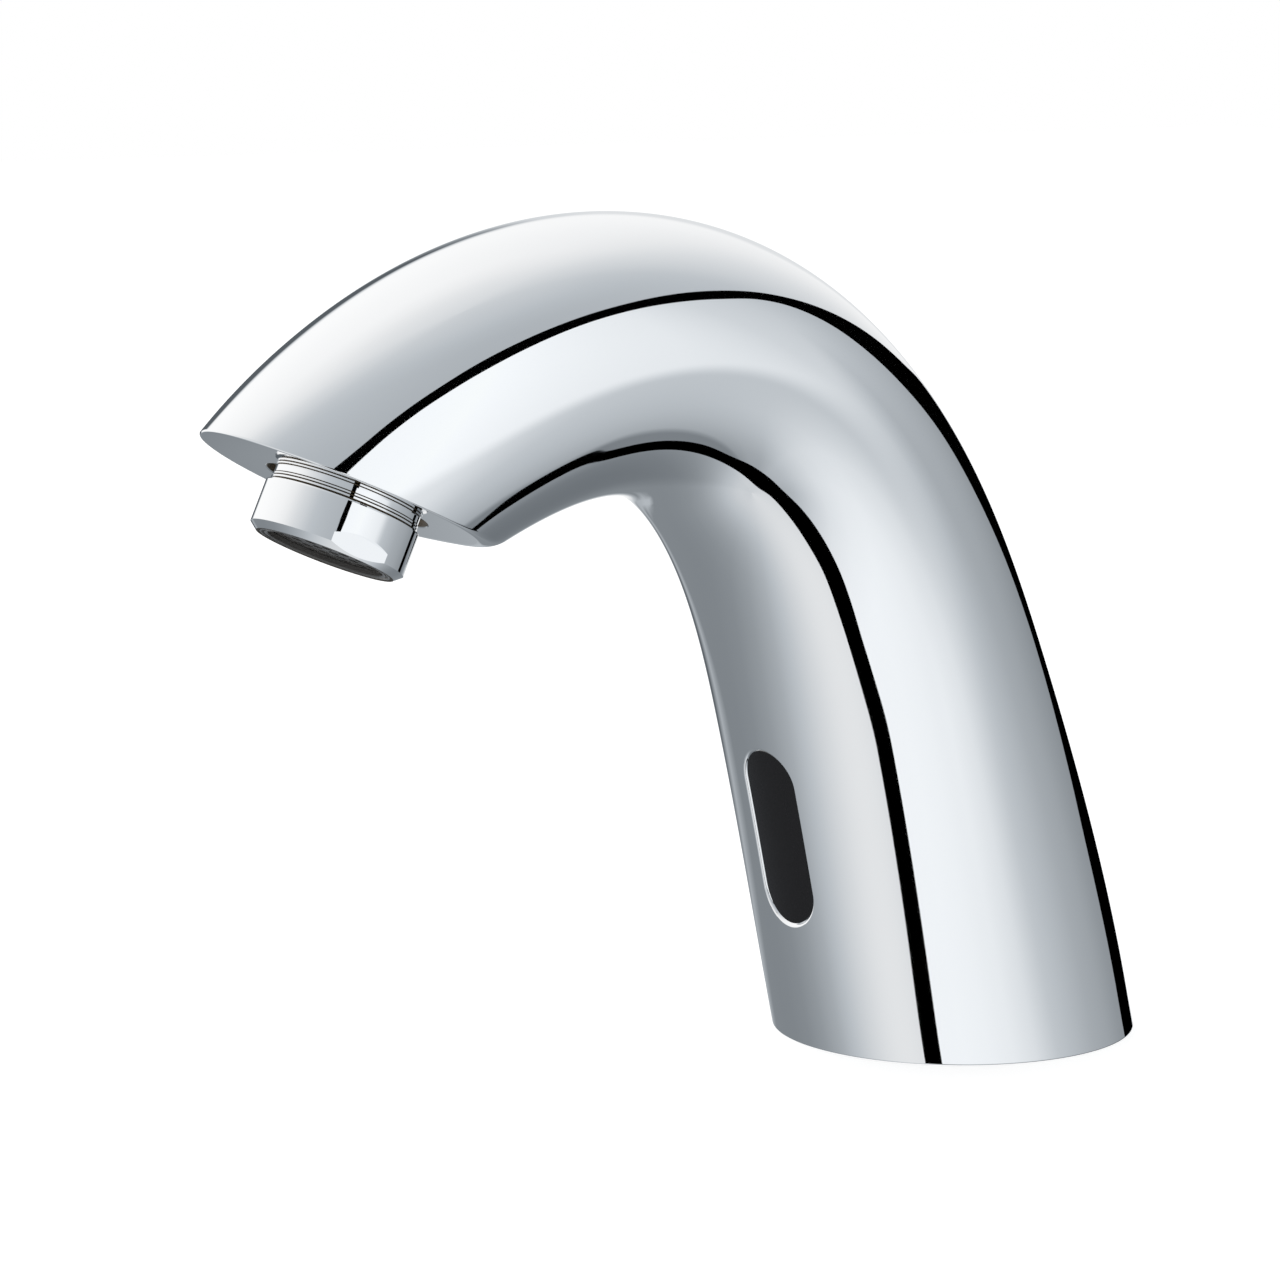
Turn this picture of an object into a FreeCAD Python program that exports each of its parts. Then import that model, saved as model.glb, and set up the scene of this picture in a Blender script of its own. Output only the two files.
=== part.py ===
import FreeCAD, Part

import math
import os

import Sketcher

# A deck-mounted sensor tap. Units are millimetres and degrees.
# +Z is up, the deck is the plane Z = 0, the foot's centre is the origin, and the spout reaches
# towards -Y. The plane X = 0 is the plane of symmetry.

V = FreeCAD.Vector
UP = V(0, 0, 1)
SIDE = V(1, 0, 0)

SIZES = [
    # name, value, what it measures
    ("foot_diameter", 60.0, "round foot on the deck"),
    ("leg_lean", 13.4, "lean of the centreline at the foot, degrees from upright"),
    ("leg_radius", 700.0, "slight bow of the leg's centreline"),
    ("leg_run", 59.0, "centreline length of the leg"),
    ("bend_ease_in", 71.0, "centreline length over which the bend tightens"),
    ("bend_radius", 42.8, "tightest radius of the centreline"),
    ("bend_ease_out", 59.5, "centreline length over which the bend opens again"),
    ("spout_radius", 146.0, "radius of the spout's centreline"),
    ("spout_run", 27.0, "centreline length of the spout's last stretch"),
    ("spout_width", 52.2, "width that the sides would reach without the tip's closing"),
    ("tip_closing", 24.2, "width that the closing takes off at the centreline's end"),
    ("tip_sharpness", 8.0, "power law of the closing"),
    ("leg_depth", 53.0, "depth of the section a quarter of the way along"),
    ("bend_depth", 45.6, "depth of the section halfway along"),
    ("spout_depth", 43.2, "depth of the section three quarters of the way along"),
    ("tip_depth", 39.0, "depth of the section at the centreline's end"),
    ("wall", 3.0, "wall of the cast body"),
    ("edge_round", 0.4, "rounding of the outlet face's edge"),
    ("outlet_inset", 18.3, "centreline length left beyond the outlet's centre"),
    ("outlet_drop", 2.0, "outlet's centre below the centreline"),
    ("outlet_tilt", 25.4, "stream direction, degrees from straight down, forwards"),
    ("outlet_wall", 7.0, "thickness of metal behind the outlet face"),
    ("nipple_back", 1.0, "outlet nipple behind that metal"),
    ("port_diameter", 18.0, "port that takes the outlet nipple"),
    ("recess_diameter", 25.4, "recess of the outlet face round the aerator"),
    ("recess_depth", 1.2, "depth of that recess"),
    ("thread_gap", 0.1, "radial gap of a screwed pair"),
    ("ring_gap", 0.15, "gap round a sealing ring in its groove"),
    ("seat_gap", 0.2, "gap between pieces that lie on each other"),
    ("nipple_diameter", 21.8, "male end that the aerator screws on, M22 x 1"),
    ("nipple_length", 4.2, "length of that male end"),
    ("nipple_chamfer", 0.5, "chamfer of the male end"),
    ("nipple_bore", 15.2, "bore of the male end"),
    ("nipple_bore_depth", 5.0, "depth of that bore"),
    ("joint_length", 5.0, "spigot of a tube joint"),
    ("joint_diameter", 12.0, "diameter of that spigot"),
    ("joint_seat", 1.5, "tube's seat from the spigot's start"),
    ("nut_length", 8.0, "length of a tube nut"),
    ("nut_flats", 15.0, "width across a tube nut's flats"),
    ("nut_start", 0.4, "nut from the spigot's start"),
    ("olive_length", 1.0, "length of the ring that a nut squeezes"),
    ("tube_diameter", 8.0, "water tube, outside"),
    ("tube_wall", 1.0, "wall of the water tube"),
    ("tube_gap", 0.05, "radial gap round the tube in its joints"),
    ("tube_bend", 40.0, "bend radius of the water tube"),
    ("tube_end_bend", 10.0, "bend radius of the water tube before the outlet"),
    ("tube_turn_height", 34.0, "height where the water tube starts to lean"),
    ("tube_back_offset", 12.0, "water tube behind the centreline at the bend's start"),
    ("tube_top_offset", 4.0, "water tube above the centreline in the spout"),
    ("tube_turn_depth", 24.0, "distance from the outlet face to the water tube's last bend"),
    ("tube_low_share", 0.3, "first corner of the tube, as a share of the tightening bend"),
    ("tube_high_share", 0.75, "second corner, as a share of the tightening bend"),
    ("tube_top_share", 0.2, "third corner, as a share of the opening bend"),
    ("aerator_diameter", 24.0, "aerator housing"),
    ("aerator_proud", 9.4, "how far the housing stands out of the outlet face"),
    ("aerator_chamfer", 1.3, "width of the housing's lower chamfer"),
    ("aerator_chamfer_height", 1.0, "height of that chamfer"),
    ("aerator_top_chamfer", 0.5, "housing's upper chamfer"),
    ("aerator_lip", 1.0, "lip that carries the insert"),
    ("aerator_mouth", 18.0, "opening in that lip"),
    ("wrench_flats", 22.2, "width across the two flats"),
    ("wrench_flat_height", 3.3, "height of the flats, from the lower end"),
    ("wrench_turn", 10.0, "direction of the flats, degrees round the stream"),
    ("washer_thickness", 2.0, "sealing washer of the aerator"),
    ("washer_bore", 16.0, "bore of that washer"),
    ("insert_diameter", 20.4, "jet former"),
    ("insert_height", 3.4, "rim of the jet former"),
    ("insert_dome", 4.5, "height of the jet former's dome above the rim"),
    ("insert_dome_diameter", 13.6, "diameter of that dome"),
    ("insert_dome_chamfer", 1.5, "chamfer of that dome"),
    ("insert_floor", 1.2, "thickness of the jet former's floor"),
    ("jet_diameter", 1.6, "hole of the jet former"),
    ("jet_count", 10, "holes of the jet former"),
    ("jet_inset", 2.6, "holes from the dome's side"),
    ("screen_diameter", 17.9, "screens below the jet former"),
    ("screen_thickness", 0.3, "thickness of a screen"),
    ("screen_hole", 1.5, "opening of a screen"),
    ("screen_turn", 15.0, "turn of each screen against the last, degrees"),
    ("screen_gap", 0.05, "radial gap round a screen, the grille or a filter"),
    ("grille_thickness", 1.1, "outlet grille"),
    ("grille_hole", 1.7, "opening of the outlet grille"),
    ("grille_pitch", 2.6, "spacing of the openings"),
    ("grille_rings", 3, "rings of openings round the middle one"),
    ("foot_wall", 6.0, "wall of the foot round the base plug"),
    ("plug_height", 12.0, "height of the base plug"),
    ("ledge_thickness", 4.0, "ledge inside the foot that the plug is screwed to"),
    ("ledge_width", 5.5, "width of that ledge"),
    ("plug_gap", 0.1, "radial gap round the base plug"),
    ("plug_screw_inset", 2.0, "plug's screws from the ledge's bore"),
    ("plug_screw_count", 3, "screws of the base plug"),
    ("screw_diameter", 2.8, "shank of an M3 screw"),
    ("screw_head", 5.6, "head of an M3 screw"),
    ("screw_head_height", 1.8, "height of that head"),
    ("screw_socket", 2.4, "socket in the head"),
    ("screw_socket_depth", 1.0, "depth of that socket"),
    ("screw_gap", 0.1, "radial gap round a shank"),
    ("screw_head_gap", 0.2, "radial gap round a sunk head"),
    ("screw_sink", 0.6, "sunk head above the face"),
    ("screw_end_gap", 0.3, "hole beyond a screw's end"),
    ("plug_screw_length", 9.0, "length of the plug's screws"),
    ("plug_ring_height", 9.0, "height of the sealing ring's groove"),
    ("stud_diameter", 6.8, "tapped hole for a fixing stud, M8"),
    ("stud_depth", 10.0, "depth of the tapped hole"),
    ("stud_inset", 6.5, "studs from the ledge's bore"),
    ("stud_forward", -2.0, "studs in front of the foot's centre"),
    ("inlet_inset", 9.5, "water inlet from the ledge's bore, at the back"),
    ("inlet_diameter", 13.0, "hole for the inlet fitting"),
    ("inlet_thread", 9.0, "tapped bore for the supply hose, M10 x 1"),
    ("inlet_thread_length", 8.0, "length of the tapped bore"),
    ("inlet_recess", 1.0, "inlet fitting above the deck"),
    ("filter_diameter", 8.4, "seat of the inlet filter"),
    ("filter_thickness", 0.8, "inlet filter"),
    ("filter_hole", 1.2, "opening of the filter"),
    ("filter_pitch", 2.4, "spacing of its openings"),
    ("filter_rings", 1, "rings of openings round the middle one"),
    ("flange_diameter", 16.0, "flange of the inlet fitting"),
    ("flange_thickness", 3.0, "thickness of that flange"),
    ("cable_inset", 7.5, "cable hole from the ledge's bore, at the front"),
    ("cable_hole", 9.0, "hole for the cable grommet"),
    ("cable_diameter", 4.4, "bore of the grommet"),
    ("grommet_flange", 11.0, "flange of the grommet"),
    ("grommet_flange_thickness", 1.2, "thickness of that flange"),
    ("grommet_recess", 0.6, "grommet above the deck"),
    ("gasket_inset", 1.5, "deck gasket from the foot's edge"),
    ("gasket_width", 3.0, "width of the deck gasket"),
    ("gasket_thickness", 1.5, "thickness of the deck gasket"),
    ("gasket_gap", 0.2, "radial gap beside the gasket"),
    ("ring_section", 1.9, "section of the plug's sealing ring"),
    ("port_ring_section", 1.5, "section of the port's sealing ring"),
    ("window_station", 45.3, "centreline length at the sensor window"),
    ("window_width", 12.0, "sensor window"),
    ("window_length", 30.0, "sensor window, along the leg"),
    ("lens_gap", 0.2, "gap round the lens"),
    ("lens_recess", 0.4, "lens below the leg's surface"),
    ("lens_flange", 2.5, "flange of the lens beyond its nose"),
    ("lens_flange_thickness", 1.4, "thickness of that flange"),
    ("lens_pocket_gap", 1.0, "room round that flange"),
    ("lens_gasket_thickness", 0.8, "gasket between the lens and the leg"),
    ("sensor_depth", 12.0, "depth of the sensor housing"),
    ("sensor_wall", 1.4, "wall of the sensor housing"),
    ("sensor_step", 1.4, "step that carries the board"),
    ("sensor_board_depth", 7.2, "depth of that step"),
    ("sensor_cover", 1.4, "thickness of the back cover"),
    ("ear_gap", 0.2, "posts from the lens flange"),
    ("ear_width", 6.0, "diameter of an ear and of the post below it"),
    ("ear_thickness", 2.0, "thickness of an ear"),
    ("post_height", 6.0, "posts inside the leg, from the window's seat"),
    ("sensor_screw_length", 6.0, "length of the sensor's screws"),
    ("board_thickness", 1.6, "circuit board"),
    ("board_gap", 0.2, "gap round the board"),
    ("eye_diameter", 5.0, "emitter and receiver"),
    ("eye_height", 2.8, "their straight part"),
    ("eye_rim", 0.4, "rim at their foot"),
    ("eye_rim_height", 0.8, "height of that rim"),
    ("eye_spacing", 15.0, "distance between them"),
    ("baffle_thickness", 1.2, "light baffle between them"),
]


class Size:
    """A size of the sheet, or a sum of them, that knows both its value and its expression."""

    def __init__(self, value, text):
        self.value = value
        self.text = text

    @staticmethod
    def of(other):
        return other if isinstance(other, Size) else Size(float(other), repr(float(other)))

    def __add__(self, other):
        other = Size.of(other)
        return Size(self.value + other.value, f"({self.text} + {other.text})")

    def __sub__(self, other):
        other = Size.of(other)
        return Size(self.value - other.value, f"({self.text} - {other.text})")

    def __mul__(self, other):
        other = Size.of(other)
        return Size(self.value * other.value, f"({self.text} * {other.text})")

    def __truediv__(self, other):
        other = Size.of(other)
        return Size(self.value / other.value, f"({self.text} / {other.text})")

    def __neg__(self):
        return Size.of(0) - self

    def __radd__(self, other):
        return Size.of(other) + self

    def __rsub__(self, other):
        return Size.of(other) - self

    def __float__(self):
        return float(self.value)


doc = FreeCAD.newDocument("sensor_tap")
sheet = doc.addObject("Spreadsheet::Sheet", "Sizes")
for row, (alias, value, note) in enumerate(SIZES, start=1):
    sheet.set(f"A{row}", alias)
    sheet.set(f"B{row}", str(value))
    sheet.setAlias(f"B{row}", alias)
    sheet.set(f"C{row}", note)
doc.recompute()


def size(alias):
    """One driving size, read back from the sheet."""
    return Size(float(sheet.get(alias)), f"Sizes.{alias}")


def bind(obj, **sizes):
    """Binds properties of an object to expressions of the sheet."""
    for name, value in sizes.items():
        obj.setExpression(name, Size.of(value).text)
    return obj


# ---------------------------------------------------------------- centreline and sections

LEAN = math.radians(float(size("leg_lean")))
REACHES = [float(size(n)) for n in ("leg_run", "bend_ease_in", "bend_ease_out", "spout_run")]
MARKS = [sum(REACHES[:i]) for i in range(len(REACHES) + 1)]
RADII = [float(size(n)) for n in ("leg_radius", "leg_radius", "bend_radius", "spout_radius",
                                  "spout_radius")]
LENGTH = MARKS[-1]
STEP = 0.25
QUARTERS = 4


def curvature(s):
    """Curvature of the centreline: it changes evenly along each of the two easements."""
    s = min(max(s, 0.0), LENGTH)
    for i in range(len(REACHES)):
        if s <= MARKS[i + 1]:
            share = (s - MARKS[i]) / (MARKS[i + 1] - MARKS[i])
            return (1 - share) / RADII[i] + share / RADII[i + 1]
    return 1 / RADII[-1]


def walk_centreline():
    """Centreline points and leans, every STEP from the foot to the spout's end."""
    lean, y, z = LEAN, 0.0, 0.0
    rows = [(y, z, lean)]
    count = int(math.ceil(LENGTH / STEP))
    for i in range(count):
        turn = curvature((i + 0.5) * STEP) * STEP
        y -= math.sin(lean + turn / 2) * STEP
        z += math.cos(lean + turn / 2) * STEP
        lean += turn
        rows.append((y, z, lean))
    return rows


CENTRELINE = walk_centreline()


def centreline(s):
    """Point, direction and outward normal of the centreline; straight on below the foot."""
    if s < 0:
        y, z, lean = -math.sin(LEAN) * s, math.cos(LEAN) * s, LEAN
    else:
        i = min(int(s / STEP), len(CENTRELINE) - 2)
        share = s / STEP - i
        y, z, lean = (a * (1 - share) + b * share for a, b in zip(CENTRELINE[i], CENTRELINE[i + 1]))
    return V(0, y, z), V(0, -math.sin(lean), math.cos(lean)), V(0, math.cos(lean), math.sin(lean))


FOOT_RADIUS = float(size("foot_diameter")) / 2
DEPTHS = [FOOT_RADIUS * math.cos(LEAN)]
DEPTHS += [float(size(n)) / 2 for n in ("leg_depth", "bend_depth", "spout_depth", "tip_depth")]


def section(s):
    """Half width and half depth of the elliptical section at centreline length s."""
    share = max(s, 0.0) / LENGTH
    widest = float(size("spout_width")) / 2
    closing = float(size("tip_closing")) / 2 * share ** float(size("tip_sharpness"))
    width = FOOT_RADIUS + (widest - FOOT_RADIUS) * share - closing
    depth = 0.0
    for i in range(QUARTERS + 1):
        term = DEPTHS[i]
        for j in range(QUARTERS + 1):
            if j != i:
                term *= (share * QUARTERS - j) / (i - j)
        depth += term
    if s < 0:
        width -= (FOOT_RADIUS - widest) / LENGTH * s
    return width, depth


def skin(label, inset, first, last, pitch=6.0):
    """The body's outer form, drawn in by inset, as a solid between two centreline lengths.

    Each section is an exact ellipse: nine weighted corners that run smoothly along the body.
    """
    count = int((last - first) / pitch) + 2
    stations = [first + (last - first) * i / (count - 1) for i in range(count)]
    corners = [(0, 1), (1, 1), (1, 0), (1, -1), (0, -1), (-1, -1), (-1, 0), (-1, 1), (0, 1)]
    weights = [1.0 if i % 2 == 0 else math.sqrt(0.5) for i in range(9)]
    poles = []
    for across, out in corners:
        points = []
        for s in stations:
            middle, _, normal = centreline(s)
            width, depth = section(s)
            sideways = SIDE * ((width - inset) * across)
            points.append(middle + sideways + normal * ((depth - inset) * out))
        rail = Part.BSplineCurve()
        rail.interpolate(Points=points, Parameters=stations)
        poles.append(rail.getPoles())
    surface = Part.BSplineSurface()
    surface.buildFromPolesMultsKnots(
        poles, [3, 2, 2, 2, 3], rail.getMultiplicities(), [0, 1, 2, 3, 4], rail.getKnots(),
        False, False, 2, rail.Degree, [[w] * len(poles[0]) for w in weights])
    side = surface.toShape()
    ends = []
    for v in (stations[0], stations[-1]):
        rim = surface.vIso(v).toShape()
        ends.append(Part.Face(Part.Wire([rim])))
    shell = Part.makeShell([side] + ends)
    shell.sewShape()
    solid = Part.makeSolid(shell)
    if solid.Volume < 0:
        solid.reverse()
    feature = doc.addObject("Part::Feature", label)
    feature.Shape = solid
    return feature


# ---------------------------------------------------------------- frames

def frame(origin, z_axis, x_axis=SIDE):
    """A placement with the given origin and Z axis, and its X axis along x_axis."""
    z_axis = V(z_axis).normalize()
    return FreeCAD.Placement(origin, FreeCAD.Rotation(x_axis, z_axis.cross(x_axis), z_axis, "XZY"))


def moved(placement, x=0.0, y=0.0, z=0.0, turn=0.0):
    """The placement shifted, and turned about Z, within its own axes."""
    return placement.multiply(FreeCAD.Placement(V(x, y, z), FreeCAD.Rotation(UP, turn)))


DECK = FreeCAD.Placement()
TILT = math.radians(float(size("outlet_tilt")))
STREAM = V(0, -math.sin(TILT), -math.cos(TILT))
outlet_middle, _, outlet_normal = centreline(LENGTH - float(size("outlet_inset")))
OUTLET_POINT = outlet_middle - outlet_normal * float(size("outlet_drop"))
OUTLET = frame(OUTLET_POINT, STREAM)
INWARD = frame(OUTLET_POINT, STREAM * -1)


def front_point(s):
    """Point of the leg's front line, below the spout."""
    middle, _, normal = centreline(s)
    return middle - normal * section(s)[1]


WINDOW_S = float(size("window_station"))
front_slope = (front_point(WINDOW_S + 1) - front_point(WINDOW_S - 1)).normalize()
WINDOW = frame(front_point(WINDOW_S), SIDE.cross(front_slope))
LEDGE_RADIUS = size("foot_diameter") / 2 - size("foot_wall") - size("ledge_width")
INLET_BACK = LEDGE_RADIUS - size("inlet_inset")
CABLE_FORWARD = LEDGE_RADIUS - size("cable_inset")
INLET = moved(DECK, y=float(INLET_BACK))


# ---------------------------------------------------------------- building blocks

def plane_of(body, role):
    """One of the body's own origin planes."""
    return next(f for f in body.Origin.OriginFeatures if f.Role == role)


def new_body(label, placement):
    body = doc.addObject("PartDesign::Body", label)
    body.Label = label
    body.Placement = placement
    return body


def new_sketch(body, role, name, lift=None):
    """A sketch on one of the body's origin planes, lifted off it where lift is given."""
    sketch = body.newObject("Sketcher::SketchObject", name)
    sketch.AttachmentSupport = [(plane_of(body, role), "")]
    sketch.MapMode = "FlatFace"
    if lift is not None:
        bind(sketch, **{".AttachmentOffset.Base.z": lift})
    return sketch


def pin_point(sketch, edge, vertex, x, y):
    """Ties a vertex of the sketch to the distances x and y from the sketch's origin."""
    for kind, value in (("DistanceX", x), ("DistanceY", y)):
        value = Size.of(value)
        index = sketch.addConstraint(Sketcher.Constraint(kind, -1, 1, edge, vertex, value.value))
        name = f"{kind[-1].lower()}{edge}_{vertex}"
        sketch.renameConstraint(index, name)
        sketch.setExpression(f"Constraints.{name}", value.text)


def draw_polygon(sketch, points):
    """A closed outline of straight lines through points whose places are sizes."""
    spots = [V(float(Size.of(x)), float(Size.of(y)), 0) for x, y in points]
    count = len(points)
    first = sketch.GeometryCount
    for i in range(count):
        sketch.addGeometry(Part.LineSegment(spots[i], spots[(i + 1) % count]))
    for i in range(count):
        ends = (first + i, 2, first + (i + 1) % count, 1)
        sketch.addConstraint(Sketcher.Constraint("Coincident", *ends))
    for i, (x, y) in enumerate(points):
        pin_point(sketch, first + i, 1, x, y)


def draw_circle(sketch, x, y, diameter):
    """A circle whose centre and diameter are sizes."""
    diameter = Size.of(diameter)
    place = V(float(Size.of(x)), float(Size.of(y)), 0)
    edge = sketch.addGeometry(Part.Circle(place, UP, float(diameter) / 2))
    pin_point(sketch, edge, 3, x, y)
    index = sketch.addConstraint(Sketcher.Constraint("Diameter", edge, float(diameter)))
    sketch.renameConstraint(index, f"d{edge}")
    sketch.setExpression(f"Constraints.d{edge}", diameter.text)


def draw_slot(sketch, width, length):
    """A slot outline with round ends, centred on the origin and long along Y."""
    radius, reach = width / 2, (length - width) / 2
    r, c = float(radius), float(reach)
    first = sketch.GeometryCount
    top = Part.Arc(V(r, c, 0), V(0, c + r, 0), V(-r, c, 0))
    bottom = Part.Arc(V(-r, -c, 0), V(0, -c - r, 0), V(r, -c, 0))
    sketch.addGeometry(top)
    sketch.addGeometry(Part.LineSegment(V(-r, c, 0), V(-r, -c, 0)))
    sketch.addGeometry(bottom)
    sketch.addGeometry(Part.LineSegment(V(r, -c, 0), V(r, c, 0)))
    for i in range(4):
        ends = (first + i, 2, first + (i + 1) % 4, 1)
        sketch.addConstraint(Sketcher.Constraint("Tangent", *ends))
    pin_point(sketch, first, 3, 0, reach)
    pin_point(sketch, first + 2, 3, 0, -reach)
    index = sketch.addConstraint(Sketcher.Constraint("Radius", first, r))
    sketch.renameConstraint(index, f"r{first}")
    sketch.setExpression(f"Constraints.r{first}", radius.text)


def turned(label, placement, points):
    """A body turned about its Z axis from an outline of radii and heights."""
    body = new_body(label, placement)
    sketch = new_sketch(body, "XZ_Plane", f"{label}_outline")
    draw_polygon(sketch, points)
    turn = body.newObject("PartDesign::Revolution", f"{label}_turn")
    turn.Profile = sketch
    turn.ReferenceAxis = (sketch, ["V_Axis"])
    turn.Angle = 360.0
    sketch.Visibility = False
    doc.recompute()
    return body


def slot_pad(body, name, width, length, low, high, inner=None):
    """A slot-shaped block from height low to high, with a slot-shaped hole where inner is given."""
    sketch = new_sketch(body, "XY_Plane", f"{name}_outline", lift=low)
    draw_slot(sketch, width, length)
    if inner:
        draw_slot(sketch, *inner)
    pad = body.newObject("PartDesign::Pad", name)
    pad.Profile = sketch
    bind(pad, Length=high - low)
    doc.recompute()
    return pad


def pocket(body, name, sketch, depth, upwards):
    """Cuts a sketch into the body and makes sure that something was cut."""
    before = body.Shape.Volume
    cut = body.newObject("PartDesign::Pocket", name)
    cut.Profile = sketch
    bind(cut, Length=depth)
    cut.Reversed = upwards
    doc.recompute()
    if not body.Shape.Volume < before - 1e-4:
        raise ValueError(f"{name} cuts nothing")
    return cut


def around(body, name, feature, count):
    """Repeats a feature evenly about the body's Z axis."""
    pattern = body.newObject("PartDesign::PolarPattern", name)
    pattern.Originals = [feature]
    axis = next(f for f in body.Origin.OriginFeatures if f.Role == "Z_Axis")
    pattern.Axis = (axis, [""])
    pattern.Angle = 360.0
    bind(pattern, Occurrences=count)
    body.Tip = pattern
    doc.recompute()
    return pattern


def cylinder(label, placement, diameter, height):
    tool = doc.addObject("Part::Cylinder", label)
    bind(tool, Radius=diameter / 2, Height=height)
    tool.Placement = placement
    return tool


def block(label, placement, reach, back):
    """A large block beyond the placement's XY plane, which starts at y = -back."""
    tool = doc.addObject("Part::Box", label)
    tool.Length, tool.Width, tool.Height = 2 * reach, back + reach, reach
    tool.Placement = moved(placement, x=-reach, y=-back)
    return tool


def fuse(label, shapes):
    joined = doc.addObject("Part::MultiFuse", label)
    joined.Shapes = shapes
    return joined


def cut(label, base, tool):
    result = doc.addObject("Part::Cut", label)
    result.Label = label
    result.Base = base
    result.Tool = tool
    return result


def common(label, base, tool):
    result = doc.addObject("Part::Common", label)
    result.Label = label
    result.Base = base
    result.Tool = tool
    return result


parts = []


def keep(obj):
    """Marks an object as a sub-part that is written out."""
    parts.append(obj)
    return obj


# ---------------------------------------------------------------- heights along the stream
# Heights along the stream are counted from the outlet face; outwards is positive.

recess_depth = size("recess_depth")
seat_gap = size("seat_gap")
thread_gap = size("thread_gap")
outlet_wall = size("outlet_wall")
joint_radius = size("joint_diameter") / 2
tube_radius = size("tube_diameter") / 2
passage_radius = tube_radius - size("tube_wall")
nipple_end = size("nipple_length") - recess_depth
insert_top = nipple_end + size("washer_thickness")
housing_top = seat_gap - recess_depth
housing_end = size("aerator_proud")
lip_top = housing_end - size("aerator_lip")
port_top = outlet_wall + size("nipple_back")
socket_floor = port_top + size("joint_seat")
spigot_end = port_top + size("joint_length")

# ---------------------------------------------------------------- cast body

# Cutting tools run past what they cut: by OVERCUT beyond a flat face, by OVERHANG beyond a
# curved one, and by REACH on each side of the leg. Those at the outlet reach back less than the
# spout is deep, so they stay clear of the leg.
OVERCUT = 1.0
OVERHANG = 6.0
REACH = 200.0
outlet_reach = float(size("spout_depth") - OVERHANG * 2)
below_deck = frame(V(0, 0, 0), UP * -1)
ledge_top = size("plug_height")
plug_bore = size("foot_diameter") - size("foot_wall") * 2
plug_screw_ring = (LEDGE_RADIUS + size("plug_screw_inset")) * 2
gasket_outside = size("foot_diameter") / 2 - size("gasket_inset")
gasket_inside = gasket_outside - size("gasket_width")
ledge_bottom = ledge_top - size("ledge_thickness")
extension = FOOT_RADIUS * math.tan(LEAN) + OVERHANG

outer_skin = skin("outer_skin", 0.0, -extension, LENGTH)
cavity_skin = skin("cavity_skin", float(size("wall")), -extension, LENGTH)

under_deck = block("under_deck", below_deck, REACH, REACH)
past_outlet = block("past_outlet", OUTLET, REACH, outlet_reach)
outside = fuse("outside", [under_deck, past_outlet])
blank = cut("blank", outer_skin, outside)

ledge_plane = moved(below_deck, z=-float(ledge_top))
wall_plane = moved(OUTLET, z=-float(outlet_wall))
foot_ring = block("foot_ring", ledge_plane, REACH, REACH)
end_wall = block("end_wall", wall_plane, REACH, outlet_reach)

under = moved(DECK, z=-OVERCUT)
foot_bore = cylinder("foot_bore", under, plug_bore, ledge_bottom + OVERCUT)
ledge_bore = cylinder("ledge_bore", DECK, LEDGE_RADIUS * 2, ledge_top + OVERCUT)
slot_outside = (gasket_outside + size("gasket_gap")) * 2
slot_inside = (gasket_inside - size("gasket_gap")) * 2
slot_height = size("gasket_thickness") + OVERCUT
gasket_slot = cut(
    "gasket_slot",
    cylinder("slot_outside", under, slot_outside, slot_height),
    cylinder("slot_inside", under, slot_inside, slot_height))
port_foot = moved(OUTLET, z=-float(outlet_wall) - OVERCUT)
port = cylinder("port", port_foot, size("port_diameter"), outlet_wall + OVERCUT * 2)
recess_floor = moved(OUTLET, z=-float(recess_depth))
recess = cylinder("recess", recess_floor, size("recess_diameter"), recess_depth + OVERCUT)

plug_screws = int(float(size("plug_screw_count")))
PLUG_ANGLES = [90 + 360 / plug_screws * i for i in range(plug_screws)]
screw_hole = size("screw_diameter") + size("screw_gap") * 2
screw_seat = size("screw_head_height") + size("screw_sink")
plug_screw_end = screw_seat + size("plug_screw_length") + size("screw_end_gap")
ledge_holes = []
for i, angle in enumerate(PLUG_ANGLES, start=1):
    spot = moved(moved(DECK, turn=angle), x=float(plug_screw_ring) / 2)
    ledge_holes.append(cylinder(f"ledge_hole_{i}", spot, screw_hole, plug_screw_end))

window_seat = size("wall")
nose_width = size("window_width") - size("lens_gap") * 2
nose_length = size("window_length") - size("lens_gap") * 2
flange_width = nose_width + size("lens_flange") * 2
flange_length = nose_length + size("lens_flange") * 2
post_top = window_seat + size("post_height")
ear_reach = (flange_length + size("ear_width")) / 2 + size("ear_gap")

window_cut = new_body("window_cut", WINDOW)
slot_pad(window_cut, "window_slot", size("window_width"), size("window_length"),
         -window_seat - OVERCUT, Size.of(OVERHANG))
pocket_room = size("lens_pocket_gap") * 2
slot_pad(window_cut, "window_pocket", flange_width + pocket_room, flange_length + pocket_room,
         -post_top, -window_seat)

posts, post_holes = [], []
for i, way in enumerate((-1, 1), start=1):
    spot = moved(WINDOW, y=way * float(ear_reach), z=-float(post_top))
    posts.append(cylinder(f"post_{i}", spot, size("ear_width"), post_top + OVERHANG))
    hole = size("sensor_screw_length") - size("ear_thickness") + size("screw_end_gap")
    hole_start = moved(spot, z=-OVERCUT)
    post_holes.append(cylinder(f"post_hole_{i}", hole_start, screw_hole, hole + OVERCUT))

# What stays solid inside the skin: the foot's ring, the end behind the outlet and the two posts.
cavity = cut("cavity", cavity_skin, fuse("inner_solids", [foot_ring, end_wall] + posts))
window_room = cut("window_room", window_cut, fuse("post_pair", posts))
hollows = fuse("hollows", [cavity, foot_bore, ledge_bore, gasket_slot, port, recess, window_room]
               + ledge_holes + post_holes)
drilled = cut("drilled", blank, hollows)
doc.recompute()


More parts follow.
